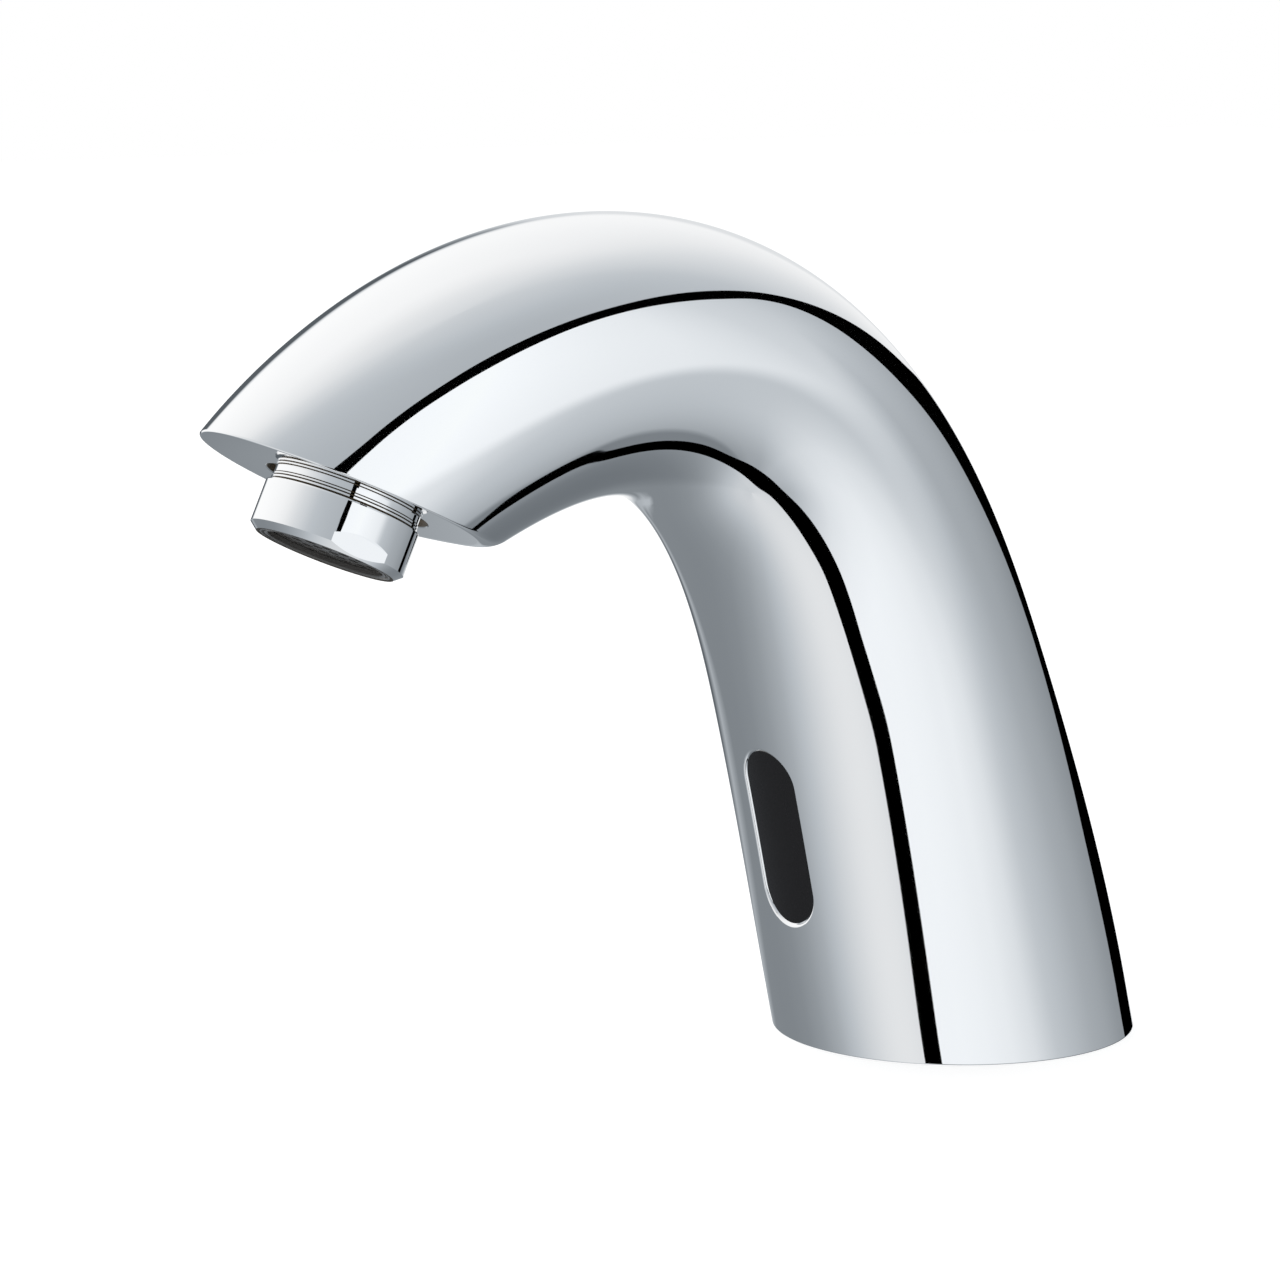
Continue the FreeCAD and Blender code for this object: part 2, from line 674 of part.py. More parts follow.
def edges_within(shape, placement, low, high):
    """Indices of the edges that lie wholly in a box of the placement's axes."""
    found = []
    for index, edge in enumerate(shape.Edges, start=1):
        spots = [placement.inverse().multVec(p) for p in edge.discretize(7)]
        if all(low[i] < p[i] < high[i] for p in spots for i in range(3)):
            found.append(index)
    return found


hair = 0.01
wide = float(size("spout_width"))
outlet_edges = edges_within(drilled.Shape, OUTLET, V(-wide, -wide, -hair), V(wide, wide, hair))
rim_reach = float(size("recess_diameter")) / 2 + hair
rim_edges = edges_within(
    drilled.Shape, OUTLET, V(-rim_reach, -rim_reach, -hair), V(rim_reach, rim_reach, hair))
body_shell = doc.addObject("Part::Fillet", "body_shell")
body_shell.Label = "body_shell"
body_shell.Base = drilled
edge_round = float(size("edge_round"))
body_shell.Edges = [(i, edge_round, edge_round) for i in outlet_edges if i not in rim_edges]
keep(body_shell)

# ---------------------------------------------------------------- outlet nipple and aerator

port_radius = size("port_diameter") / 2
nipple_radius = size("nipple_diameter") / 2
nipple_bore = size("nipple_bore") / 2
nipple_bore_top = nipple_end - size("nipple_bore_depth")
nipple_chamfer = size("nipple_chamfer")
socket_radius = tube_radius + size("tube_gap")


def ring_groove(wall_radius, section):
    """Radius of a groove's floor, and the middle radius of the sealing ring in it."""
    floor = wall_radius - section - size("ring_gap")
    return floor, (wall_radius + floor) / 2


def sealing_ring(label, placement, wall_radius, section):
    _, middle = ring_groove(wall_radius, section)
    ring = doc.addObject("Part::Torus", label)
    ring.Label = label
    bind(ring, Radius1=middle, Radius2=section / 2)
    ring.Placement = placement
    return keep(ring)


port_ring = size("port_ring_section")
port_floor, _ = ring_groove(port_radius, port_ring)
port_groove_half = port_ring / 2 + size("ring_gap")
port_groove_low = -outlet_wall / 2 - port_groove_half
port_groove_high = -outlet_wall / 2 + port_groove_half
keep(turned("outlet_nipple", OUTLET, [
    (nipple_radius - nipple_chamfer, nipple_end),
    (nipple_bore, nipple_end),
    (nipple_bore, nipple_bore_top),
    (passage_radius, nipple_bore_top),
    (passage_radius, -socket_floor),
    (socket_radius, -socket_floor),
    (socket_radius, -spigot_end),
    (joint_radius, -spigot_end),
    (joint_radius, -port_top),
    (port_radius - thread_gap, -port_top),
    (port_radius - thread_gap, port_groove_low),
    (port_floor, port_groove_low),
    (port_floor, port_groove_high),
    (port_radius - thread_gap, port_groove_high),
    (port_radius - thread_gap, -recess_depth),
    (nipple_radius, -recess_depth),
    (nipple_radius, nipple_end - nipple_chamfer),
]))
sealing_ring("nipple_ring", moved(OUTLET, z=-float(outlet_wall) / 2), port_radius, port_ring)

housing_radius = size("aerator_diameter") / 2
housing_thread = nipple_radius + thread_gap
insert_radius = size("insert_diameter") / 2
mouth_radius = size("aerator_mouth") / 2
top_chamfer = size("aerator_top_chamfer")
WRENCH = moved(OUTLET, turn=float(size("wrench_turn")))
aerator_housing = turned("aerator_housing", WRENCH, [
    (housing_radius - top_chamfer, housing_top),
    (housing_radius, housing_top + top_chamfer),
    (housing_radius, housing_end - size("aerator_chamfer_height")),
    (housing_radius - size("aerator_chamfer"), housing_end),
    (mouth_radius, housing_end),
    (mouth_radius, lip_top),
    (insert_radius + thread_gap, lip_top),
    (insert_radius + thread_gap, insert_top),
    (housing_thread, insert_top),
    (housing_thread, housing_top),
])
flats = new_sketch(aerator_housing, "XY_Plane", "wrench_flats_outline", lift=housing_end + OVERCUT)
flat_inside = size("wrench_flats") / 2
flat_outside = housing_radius + OVERCUT
for way in (-1, 1):
    draw_polygon(flats, [
        (flat_inside * way, -housing_radius),
        (flat_outside * way, -housing_radius),
        (flat_outside * way, housing_radius),
        (flat_inside * way, housing_radius),
    ])
flat_height = size("wrench_flat_height") + OVERCUT
pocket(aerator_housing, "wrench_flat_pair", flats, flat_height, upwards=False)
keep(aerator_housing)

keep(turned("aerator_washer", OUTLET, [
    (size("washer_bore") / 2, nipple_end),
    (nipple_radius, nipple_end),
    (nipple_radius, insert_top),
    (size("washer_bore") / 2, insert_top),
]))

dome_radius = size("insert_dome_diameter") / 2
dome_top = insert_top - size("insert_dome")
insert_floor = insert_top + size("insert_floor")
dome_chamfer = size("insert_dome_chamfer")
screen_radius = size("screen_diameter") / 2
screen_room = screen_radius + size("screen_gap")
aerator_insert = turned("aerator_insert", OUTLET, [
    (0, dome_top),
    (dome_radius - dome_chamfer, dome_top),
    (dome_radius, dome_top + dome_chamfer),
    (dome_radius, insert_top),
    (insert_radius, insert_top),
    (insert_radius, lip_top),
    (screen_room, lip_top),
    (screen_room, insert_floor),
    (0, insert_floor),
])
jet = new_sketch(aerator_insert, "XY_Plane", "jet_outline", lift=dome_top - OVERCUT)
draw_circle(jet, dome_radius - size("jet_inset"), 0, size("jet_diameter"))
jet_length = size("insert_dome") + size("insert_floor") + OVERCUT * 2
jet_cut = pocket(aerator_insert, "jet", jet, jet_length, upwards=True)
around(aerator_insert, "jets", jet_cut, size("jet_count"))
keep(aerator_insert)


def pierced_disc(label, placement, diameter, low, thickness, hole, pitch, rings):
    """A disc with a hole in its middle and rings of six, twelve and more holes around it."""
    disc = turned(label, placement, [
        (0, low), (diameter / 2, low), (diameter / 2, low + thickness), (0, low + thickness)])
    for ring in range(int(float(rings)) + 1):
        sketch = new_sketch(disc, "XY_Plane", f"{label}_hole_{ring}", lift=low - OVERCUT)
        draw_circle(sketch, pitch * ring, 0, hole)
        depth = thickness + OVERCUT * 2
        first = pocket(disc, f"{label}_cut_{ring}", sketch, depth, upwards=True)
        if ring:
            around(disc, f"{label}_ring_{ring}", first, 6 * ring)
    return keep(disc)


screen_thickness = size("screen_thickness")
screen_hole = size("screen_hole")
grille_pitch = size("grille_pitch")
grille_rings = size("grille_rings")
grille_low = lip_top - size("grille_thickness")
for i in (1, 2):
    low = grille_low - (screen_thickness + seat_gap) * i
    spot = moved(OUTLET, turn=float(size("screen_turn")) * i)
    pierced_disc(f"aerator_screen_{i}", spot, screen_radius * 2, low, screen_thickness,
                 screen_hole, grille_pitch, grille_rings)
pierced_disc("aerator_grille", OUTLET, screen_radius * 2, grille_low, size("grille_thickness"),
             size("grille_hole"), grille_pitch, grille_rings)

# ---------------------------------------------------------------- tube joints and water tube


def tube_joint(name, placement):
    """The nut and the squeezed ring of a tube joint whose spigot starts at the placement."""
    olive_low = size("joint_length") + thread_gap
    olive_high = olive_low + size("olive_length")
    olive_radius = joint_radius - thread_gap
    keep(turned(f"{name}_olive", placement, [
        (socket_radius, olive_low),
        (olive_radius, olive_low),
        (olive_radius, olive_high),
        (socket_radius, olive_high),
    ]))
    hexagon = doc.addObject("Part::Prism", f"{name}_hexagon")
    hexagon.Polygon = 6
    corner = size("nut_flats") / 2 / math.cos(math.pi / 6)
    bind(hexagon, Circumradius=corner, Height=size("nut_length"))
    hexagon.Placement = moved(placement, z=float(size("nut_start")))
    thread = (joint_radius + thread_gap) * 2
    wide = cylinder(f"{name}_nut_thread", placement, thread, olive_high + thread_gap)
    bore = (socket_radius + thread_gap) * 2
    narrow = cylinder(f"{name}_nut_bore", placement, bore, size("nut_length") + OVERCUT)
    keep(cut(f"{name}_nut", hexagon, fuse(f"{name}_nut_hollow", [wide, narrow])))


flange_top = size("plug_height") + size("flange_thickness")
INLET_JOINT = moved(INLET, z=float(flange_top))
OUTLET_JOINT = moved(INWARD, z=float(port_top))
tube_joint("inlet_tube", INLET_JOINT)
tube_joint("outlet_tube", OUTLET_JOINT)


def rounded_path(points, radii):
    """A wire through the points, each corner rounded by an arc of its own radius."""
    edges, start = [], points[0]
    for before, corner, after, radius in zip(points, points[1:], points[2:], radii):
        back, ahead = (before - corner).normalize(), (after - corner).normalize()
        half = back.getAngle(ahead) / 2
        reach = radius / math.tan(half)
        middle = corner + (back + ahead).normalize() * (radius / math.sin(half) - radius)
        first, last = corner + back * reach, corner + ahead * reach
        edges += [Part.LineSegment(start, first).toShape(), Part.Arc(first, middle, last).toShape()]
        start = last
    edges.append(Part.LineSegment(start, points[-1]).toShape())
    return Part.Wire(edges)


def beside_centreline(s, offset):
    middle, _, normal = centreline(s)
    return middle + normal * offset


tube_clear = float(socket_floor - port_top + seat_gap)
back_offset = float(size("tube_back_offset"))
top_offset = float(size("tube_top_offset"))
low_station = MARKS[1] + float(size("tube_low_share")) * REACHES[1]
high_station = MARKS[1] + float(size("tube_high_share")) * REACHES[1]
top_station = MARKS[2] + float(size("tube_top_share")) * REACHES[2]
tube_points = [
    moved(INLET_JOINT, z=tube_clear).Base,
    moved(INLET, z=float(size("tube_turn_height"))).Base,
    beside_centreline(low_station, back_offset),
    beside_centreline(high_station, (back_offset + top_offset) / 2),
    beside_centreline(top_station, top_offset),
    moved(INWARD, z=float(size("tube_turn_depth"))).Base,
    moved(OUTLET_JOINT, z=tube_clear).Base,
]
tube_radii = [float(size("tube_bend"))] * (len(tube_points) - 3) + [float(size("tube_end_bend"))]
tube_path = rounded_path(tube_points, tube_radii)


def swept(path, radius):
    start = path.Edges[0]
    ring = Part.Circle(start.valueAt(0), start.tangentAt(0), radius)
    return path.makePipeShell([Part.Wire([ring.toShape()])], True, True)


water_tube = doc.addObject("Part::Feature", "water_tube")
water_tube.Label = "water_tube"
water_tube.Shape = swept(tube_path, float(tube_radius)).cut(swept(tube_path, float(passage_radius)))
keep(water_tube)

# ---------------------------------------------------------------- foot

plug_radius = plug_bore / 2 - size("plug_gap")
boss_radius = LEDGE_RADIUS - size("plug_gap")
plug_ring = size("ring_section")
plug_floor, _ = ring_groove(LEDGE_RADIUS, plug_ring)
plug_groove_low = size("plug_ring_height")
plug_groove_high = plug_groove_low + plug_ring + size("ring_gap") * 2
base_plug = turned("base_plug", DECK, [
    (0, 0),
    (plug_radius, 0),
    (plug_radius, ledge_bottom),
    (boss_radius, ledge_bottom),
    (boss_radius, plug_groove_low),
    (plug_floor, plug_groove_low),
    (plug_floor, plug_groove_high),
    (boss_radius, plug_groove_high),
    (boss_radius, ledge_top),
    (0, ledge_top),
])
through = new_sketch(base_plug, "XY_Plane", "through_holes")
draw_circle(through, 0, INLET_BACK, size("inlet_diameter"))
draw_circle(through, 0, -CABLE_FORWARD, size("cable_hole"))
pocket(base_plug, "inlet_and_cable", through, ledge_top + OVERCUT, upwards=True)
studs = new_sketch(base_plug, "XY_Plane", "stud_holes")
for way in (-1, 1):
    stud_x = (LEDGE_RADIUS - size("stud_inset")) * way
    draw_circle(studs, stud_x, size("stud_forward"), size("stud_diameter"))
pocket(base_plug, "stud_pair", studs, size("stud_depth"), upwards=True)
head_room = size("screw_head") + size("screw_head_gap") * 2
for name, diameter, depth in (("plug_screw_hole", screw_hole, ledge_bottom + OVERCUT),
                              ("plug_screw_seat", head_room, screw_seat)):
    outline = new_sketch(base_plug, "XY_Plane", f"{name}_outline")
    draw_circle(outline, 0, plug_screw_ring / 2, diameter)
    first_hole = pocket(base_plug, name, outline, depth, upwards=True)
    around(base_plug, f"{name}s", first_hole, size("plug_screw_count"))
keep(base_plug)
plug_ring_middle = moved(DECK, z=float(plug_groove_low + plug_groove_high) / 2)
sealing_ring("plug_ring", plug_ring_middle, LEDGE_RADIUS, plug_ring)


def machine_screw(label, placement, length):
    """A screw with a socket head; its seat is at the placement and its shank runs along Z."""
    head, shank = size("screw_head") / 2, size("screw_diameter") / 2
    low = -size("screw_head_height")
    socket = size("screw_socket") / 2
    socket_end = low + size("screw_socket_depth")
    keep(turned(label, placement, [
        (0, socket_end),
        (socket, socket_end),
        (socket, low),
        (head, low),
        (head, 0),
        (shank, 0),
        (shank, length),
        (0, length),
    ]))


for i, angle in enumerate(PLUG_ANGLES, start=1):
    spot = moved(moved(DECK, turn=angle), x=float(plug_screw_ring) / 2, z=float(screw_seat))
    machine_screw(f"plug_screw_{i}", spot, size("plug_screw_length"))

keep(turned("deck_gasket", DECK, [
    (gasket_inside, 0),
    (gasket_outside, 0),
    (gasket_outside, size("gasket_thickness")),
    (gasket_inside, size("gasket_thickness")),
]))

thread_radius = size("inlet_thread") / 2
filter_radius = size("filter_diameter") / 2
thread_top = size("inlet_recess") + size("inlet_thread_length")
filter_top = thread_top + size("filter_thickness") + seat_gap * 2
inlet_outside = size("inlet_diameter") / 2 - thread_gap
keep(turned("inlet_fitting", INLET, [
    (thread_radius, size("inlet_recess")),
    (inlet_outside, size("inlet_recess")),
    (inlet_outside, ledge_top),
    (size("flange_diameter") / 2, ledge_top),
    (size("flange_diameter") / 2, flange_top),
    (joint_radius, flange_top),
    (joint_radius, flange_top + size("joint_length")),
    (socket_radius, flange_top + size("joint_length")),
    (socket_radius, flange_top + socket_floor - port_top),
    (passage_radius, flange_top + socket_floor - port_top),
    (passage_radius, filter_top),
    (filter_radius, filter_top),
    (filter_radius, thread_top),
    (thread_radius, thread_top),
]))
pierced_disc("inlet_filter", INLET, (filter_radius - size("screen_gap")) * 2, thread_top + seat_gap,
             size("filter_thickness"), size("filter_hole"), size("filter_pitch"), size("filter_rings"))

grommet_top = ledge_top + size("grommet_flange_thickness")
keep(turned("cable_grommet", moved(DECK, y=-float(CABLE_FORWARD)), [
    (size("cable_diameter") / 2, size("grommet_recess")),
    (size("cable_hole") / 2 - thread_gap, size("grommet_recess")),
    (size("cable_hole") / 2 - thread_gap, ledge_top),
    (size("grommet_flange") / 2, ledge_top),
    (size("grommet_flange") / 2, grommet_top),
    (size("cable_diameter") / 2, grommet_top),
]))

# ---------------------------------------------------------------- sensor
# Depths are counted from the leg's surface at the window's middle; inwards is negative here.

gasket_back = window_seat + size("lens_gasket_thickness")
lens_back = gasket_back + size("lens_flange_thickness")
sensor_back = lens_back + size("sensor_depth")
board_back = lens_back + size("sensor_board_depth")
board_front = board_back - size("board_thickness")
sensor_wall = size("sensor_wall")
inner_width = flange_width - sensor_wall * 2
inner_length = flange_length - sensor_wall * 2
step_width = inner_width - size("sensor_step") * 2
step_length = inner_length - size("sensor_step") * 2

lens_blank = new_body("lens_blank", WINDOW)
slot_pad(lens_blank, "lens_flange", flange_width, flange_length, -lens_back, -gasket_back)
slot_pad(lens_blank, "lens_nose", nose_width, nose_length, -lens_back, Size.of(OVERHANG))
lens_skin = skin("lens_skin", float(size("lens_recess")), -extension, LENGTH)
keep(common("sensor_lens", lens_blank, lens_skin))

lens_gasket = new_body("lens_gasket", WINDOW)
slot_pad(lens_gasket, "lens_gasket_ring", flange_width, flange_length, -gasket_back, -window_seat,
         inner=(size("window_width"), size("window_length")))
keep(lens_gasket)

sensor_housing = new_body("sensor_housing", WINDOW)
slot_pad(sensor_housing, "sensor_front", flange_width, flange_length, -board_back, -lens_back,
         inner=(inner_width, inner_length))
slot_pad(sensor_housing, "sensor_rear", flange_width, flange_length, -sensor_back, -board_back,
         inner=(step_width, step_length))
ear_low, ear_half = -post_top - size("ear_thickness"), size("ear_width") / 2
ear_inside = (flange_length - sensor_wall) / 2
arms = new_sketch(sensor_housing, "XY_Plane", "ear_arms_outline", lift=ear_low)
ends = new_sketch(sensor_housing, "XY_Plane", "ear_ends_outline", lift=ear_low)
holes = new_sketch(sensor_housing, "XY_Plane", "ear_holes_outline", lift=ear_low - OVERCUT)
for way in (-1, 1):
    near, far = ear_inside * way, ear_reach * way
    draw_polygon(arms, [(-ear_half, near), (ear_half, near), (ear_half, far), (-ear_half, far)])
    draw_circle(ends, 0, far, ear_half * 2)
    draw_circle(holes, 0, far, screw_hole)
for name, outline in (("ear_arms", arms), ("ear_ends", ends)):
    ear = sensor_housing.newObject("PartDesign::Pad", name)
    ear.Profile = outline
    bind(ear, Length=size("ear_thickness"))
    doc.recompute()
pocket(sensor_housing, "ear_holes", holes, size("ear_thickness") + OVERCUT * 2, upwards=True)
keep(sensor_housing)

sensor_cover = new_body("sensor_cover", WINDOW)
slot_pad(sensor_cover, "sensor_cover_plate", flange_width, flange_length,
         -sensor_back - size("sensor_cover"), -sensor_back)
keep(sensor_cover)

circuit_board = new_body("circuit_board", WINDOW)
board_width = inner_width - size("board_gap") * 2
board_length = inner_length - size("board_gap") * 2
slot_pad(circuit_board, "board_plate", board_width, board_length, -board_back, -board_front)
keep(circuit_board)


def eye(label, way):
    """A round-headed emitter or receiver that stands on the board."""
    spot = moved(WINDOW, y=way * float(size("eye_spacing")) / 2, z=-float(board_front))
    stem = cylinder(f"{label}_stem", spot, size("eye_diameter"), size("eye_height"))
    rim = size("eye_diameter") + size("eye_rim") * 2
    foot = cylinder(f"{label}_foot", spot, rim, size("eye_rim_height"))
    dome = doc.addObject("Part::Sphere", f"{label}_dome")
    bind(dome, Radius=size("eye_diameter") / 2)
    dome.Placement = moved(spot, z=float(size("eye_height")))
    joined = fuse(label, [stem, foot, dome])
    joined.Label = label
    return keep(joined)


eye("ir_emitter", 1)
eye("ir_receiver", -1)

baffle = doc.addObject("Part::Box", "light_baffle")
baffle.Label = "light_baffle"
baffle_height = board_front - lens_back - seat_gap
bind(baffle, Length=board_width, Width=size("baffle_thickness"), Height=baffle_height)
baffle_middle = size("baffle_thickness") / 2
baffle.Placement = moved(WINDOW, x=-float(board_width) / 2, y=-float(baffle_middle), z=-float(board_front))
keep(baffle)

for i, way in enumerate((-1, 1), start=1):
    spot = moved(WINDOW, y=way * float(ear_reach), z=float(ear_low))
    machine_screw(f"sensor_screw_{i}", spot, size("sensor_screw_length"))

# ---------------------------------------------------------------- checks and files

doc.recompute()
for obj in doc.Objects:
    if {"Invalid", "Error"} & set(obj.State):
        raise ValueError(f"{obj.Label} failed: {obj.State}")
os.makedirs("parts", exist_ok=True)
for obj in parts:
    shape = obj.Shape
    if shape.isNull() or not shape.isValid() or len(shape.Solids) != 1:
        raise ValueError(f"{obj.Label} is not one valid solid: {len(shape.Solids)}")
    shape.exportStep(f"parts/{obj.Label}.step")
    print(f"{obj.Label}: {shape.Volume:.1f} mm3, {len(shape.Faces)} faces")
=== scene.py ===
"""The looks of a deck-mounted sensor tap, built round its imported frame.

Lengths are metres and angles radians. +Z is up, the deck is the plane Z = 0, the foot's centre is
the origin and the spout reaches towards -Y. The plane X = 0 is the plane of symmetry.
"""

import logging
import math
from dataclasses import dataclass
from enum import Enum
from typing import Optional

import bmesh
import bpy
import numpy as np
from mathutils import Euler, Matrix, Vector


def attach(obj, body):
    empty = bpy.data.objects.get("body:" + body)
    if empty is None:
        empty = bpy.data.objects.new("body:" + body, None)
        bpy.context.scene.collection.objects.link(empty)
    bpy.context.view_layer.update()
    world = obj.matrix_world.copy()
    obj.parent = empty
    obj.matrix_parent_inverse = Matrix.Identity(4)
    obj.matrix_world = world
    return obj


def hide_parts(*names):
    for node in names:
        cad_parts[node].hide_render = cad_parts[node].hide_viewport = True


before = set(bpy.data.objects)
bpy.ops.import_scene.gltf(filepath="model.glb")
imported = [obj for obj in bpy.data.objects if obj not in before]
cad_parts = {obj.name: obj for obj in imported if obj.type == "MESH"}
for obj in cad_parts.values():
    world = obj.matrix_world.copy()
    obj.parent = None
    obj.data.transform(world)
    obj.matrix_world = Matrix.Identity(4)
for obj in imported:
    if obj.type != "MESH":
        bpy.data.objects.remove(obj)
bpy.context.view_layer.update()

log = logging.getLogger("sensor_tap")
MM = 0.001
TURN = 2 * math.pi
BELOW_FOOT = 20 * MM  # where the search for the skin's lower end stops
SAME_SPOT = 0.0005 * MM  # vertices that are nearer than this are one
ON_SKIN = 0.012 * MM  # a cut vertex this near the skin takes the skin's normal
SHARP_EDGE = math.radians(20)
SMOOTH_LIMIT = math.radians(25)


class Body(Enum):
    """The bodies that pieces ride on."""

    TAP = "tap"
    WASHER = "washer"
    AERATOR = "aerator"


class Slot(Enum):
    """The record's material slots."""

    PLATED_BRASS = "plated_brass"
    BRASS = "brass"
    COPPER_TUBE = "copper_tube"
    STEEL = "steel"
    STEEL_MESH = "steel_mesh"
    SEAL_RUBBER = "seal_rubber"
    JET_PLASTIC = "jet_plastic"
    DARK_LENS = "dark_lens"
    SENSOR_PLASTIC = "sensor_plastic"
    BOARD = "board"
    EYE_PLASTIC = "eye_plastic"


# ---------------------------------------------------------------- shared shader effects

def shared_group(name: str, inputs: dict[str, float], outputs: list[str]) -> bpy.types.NodeTree:
    """Starts a shader node group with float inputs and float outputs.

    Args:
        name: The group's name.
        inputs: Each input's name and its default.
        outputs: The names of the outputs.

    Returns:
        The group's node tree, with its input and output nodes in place.
    """
    tree = bpy.data.node_groups.new(name, "ShaderNodeTree")
    for label, default in inputs.items():
        socket = tree.interface.new_socket(label, in_out="INPUT", socket_type="NodeSocketFloat")
        socket.default_value = default
    for label in outputs:
        tree.interface.new_socket(label, in_out="OUTPUT", socket_type="NodeSocketFloat")
    tree.nodes.new("NodeGroupInput").name = "In"
    tree.nodes.new("NodeGroupOutput").name = "Out"
    return tree


@dataclass(frozen=True)
class SharedEffects:
    """Effects that several finishes use, each built once as a node group."""

    def grain(self) -> bpy.types.NodeTree:
        """Fine grain of a cast, moulded or rolled surface.

        Returns:
            The group: Size is the grain's size in metres, Height runs from 0 to 1.
        """
        name = "fine_grain"
        if name in bpy.data.node_groups:
            return bpy.data.node_groups[name]
        tree = shared_group(name, {"Size": 0.4 * MM, "Detail": 3.0}, ["Height"])
        nodes, links = tree.nodes, tree.links
        place = nodes.new("ShaderNodeTexCoord")
        rate = nodes.new("ShaderNodeMath")
        rate.operation = "DIVIDE"
        rate.inputs[0].default_value = 1.0
        noise = nodes.new("ShaderNodeTexNoise")
        links.new(nodes["In"].outputs["Size"], rate.inputs[1])
        links.new(place.outputs["Object"], noise.inputs["Vector"])
        links.new(rate.outputs[0], noise.inputs["Scale"])
        links.new(nodes["In"].outputs["Detail"], noise.inputs["Detail"])
        links.new(noise.outputs["Fac"], nodes["Out"].inputs["Height"])
        return tree

    def handling(self) -> bpy.types.NodeTree:
        """Marks of handling: broad soft patches crossed by hairline rubbing.

        Returns:
            The group: Patch is the patches' size in metres, Mask runs from 0 to 1.
        """
        name = "handling_marks"
        if name in bpy.data.node_groups:
            return bpy.data.node_groups[name]
        tree = shared_group(name, {"Patch": 14 * MM, "Hairline": 0.35}, ["Mask"])
        nodes, links = tree.nodes, tree.links
        place = nodes.new("ShaderNodeTexCoord")
        rate = nodes.new("ShaderNodeMath")
        rate.operation = "DIVIDE"
        rate.inputs[0].default_value = 1.0
        patches = nodes.new("ShaderNodeTexNoise")
        patches.inputs["Detail"].default_value = 2.0
        stretch = nodes.new("ShaderNodeMapping")
        stretch.inputs["Scale"].default_value = (90.0, 2400.0, 320.0)
        stretch.inputs["Rotation"].default_value = (0.5, 0.2, 0.9)
        hairs = nodes.new("ShaderNodeTexNoise")
        hairs.inputs["Scale"].default_value = 1.0
        hairs.inputs["Detail"].default_value = 4.0
        blend = nodes.new("ShaderNodeMix")
        links.new(nodes["In"].outputs["Patch"], rate.inputs[1])
        links.new(place.outputs["Object"], patches.inputs["Vector"])
        links.new(rate.outputs[0], patches.inputs["Scale"])
        links.new(place.outputs["Object"], stretch.inputs["Vector"])
        links.new(stretch.outputs["Vector"], hairs.inputs["Vector"])
        links.new(nodes["In"].outputs["Hairline"], blend.inputs["Factor"])
        links.new(patches.outputs["Fac"], blend.inputs["A"])
        links.new(hairs.outputs["Fac"], blend.inputs["B"])
        links.new(blend.outputs["Result"], nodes["Out"].inputs["Mask"])
        return tree


EFFECTS = SharedEffects()


# ---------------------------------------------------------------- finishes

@dataclass(frozen=True)
class Finish:
    """A finish whose colour, roughness and relief vary a little over the surface."""

    slot: Slot
    light: tuple[float, float, float]
    dark: tuple[float, float, float]
    smooth: float
    rough: float
    metallic: float = 0.0
    grain_size: float = 0.4 * MM
    grain_depth: float = 0.0
    patch_size: float = 14 * MM
    hairline: float = 0.35
    specular: float = 0.5
    coat: float = 0.0
    name: str = ""

    def material(self) -> bpy.types.Material:
        """The finish's material, made once.

        Returns:
            The material.
        """
        name = (self.name or self.slot.value) + "_finish"
        if name in bpy.data.materials:
            return bpy.data.materials[name]
        material = bpy.data.materials.new(name)
        material.use_nodes = True
        self.wire(material.node_tree)
        return material

    def wire(self, tree: bpy.types.NodeTree) -> None:
        """Sets the shader up and links the shared effects to it.

        Args:
            tree: The material's node tree, with a Principled shader in it.
        """
        nodes, links = tree.nodes, tree.links
        shader = nodes["Principled BSDF"]
        shader.inputs["Metallic"].default_value = self.metallic
        shader.inputs["Specular IOR Level"].default_value = self.specular
        shader.inputs["Coat Weight"].default_value = self.coat
        marks = nodes.new("ShaderNodeGroup")
        marks.node_tree = EFFECTS.handling()
        marks.inputs["Patch"].default_value = self.patch_size
        marks.inputs["Hairline"].default_value = self.hairline
        colour = nodes.new("ShaderNodeMix")
        colour.data_type = "RGBA"
        colour.inputs["A"].default_value = (*self.light, 1.0)
        colour.inputs["B"].default_value = (*self.dark, 1.0)
        polish = nodes.new("ShaderNodeMapRange")
        polish.inputs["To Min"].default_value = self.smooth
        polish.inputs["To Max"].default_value = self.rough
        links.new(marks.outputs["Mask"], colour.inputs["Factor"])
        links.new(marks.outputs["Mask"], polish.inputs["Value"])
        links.new(colour.outputs["Result"], shader.inputs["Base Color"])
        links.new(polish.outputs["Result"], shader.inputs["Roughness"])
        if self.grain_depth:
            grain = nodes.new("ShaderNodeGroup")
            grain.node_tree = EFFECTS.grain()
            grain.inputs["Size"].default_value = self.grain_size
            relief = nodes.new("ShaderNodeBump")
            relief.inputs["Distance"].default_value = self.grain_depth
            links.new(grain.outputs["Height"], relief.inputs["Height"])
            links.new(relief.outputs["Normal"], shader.inputs["Normal"])


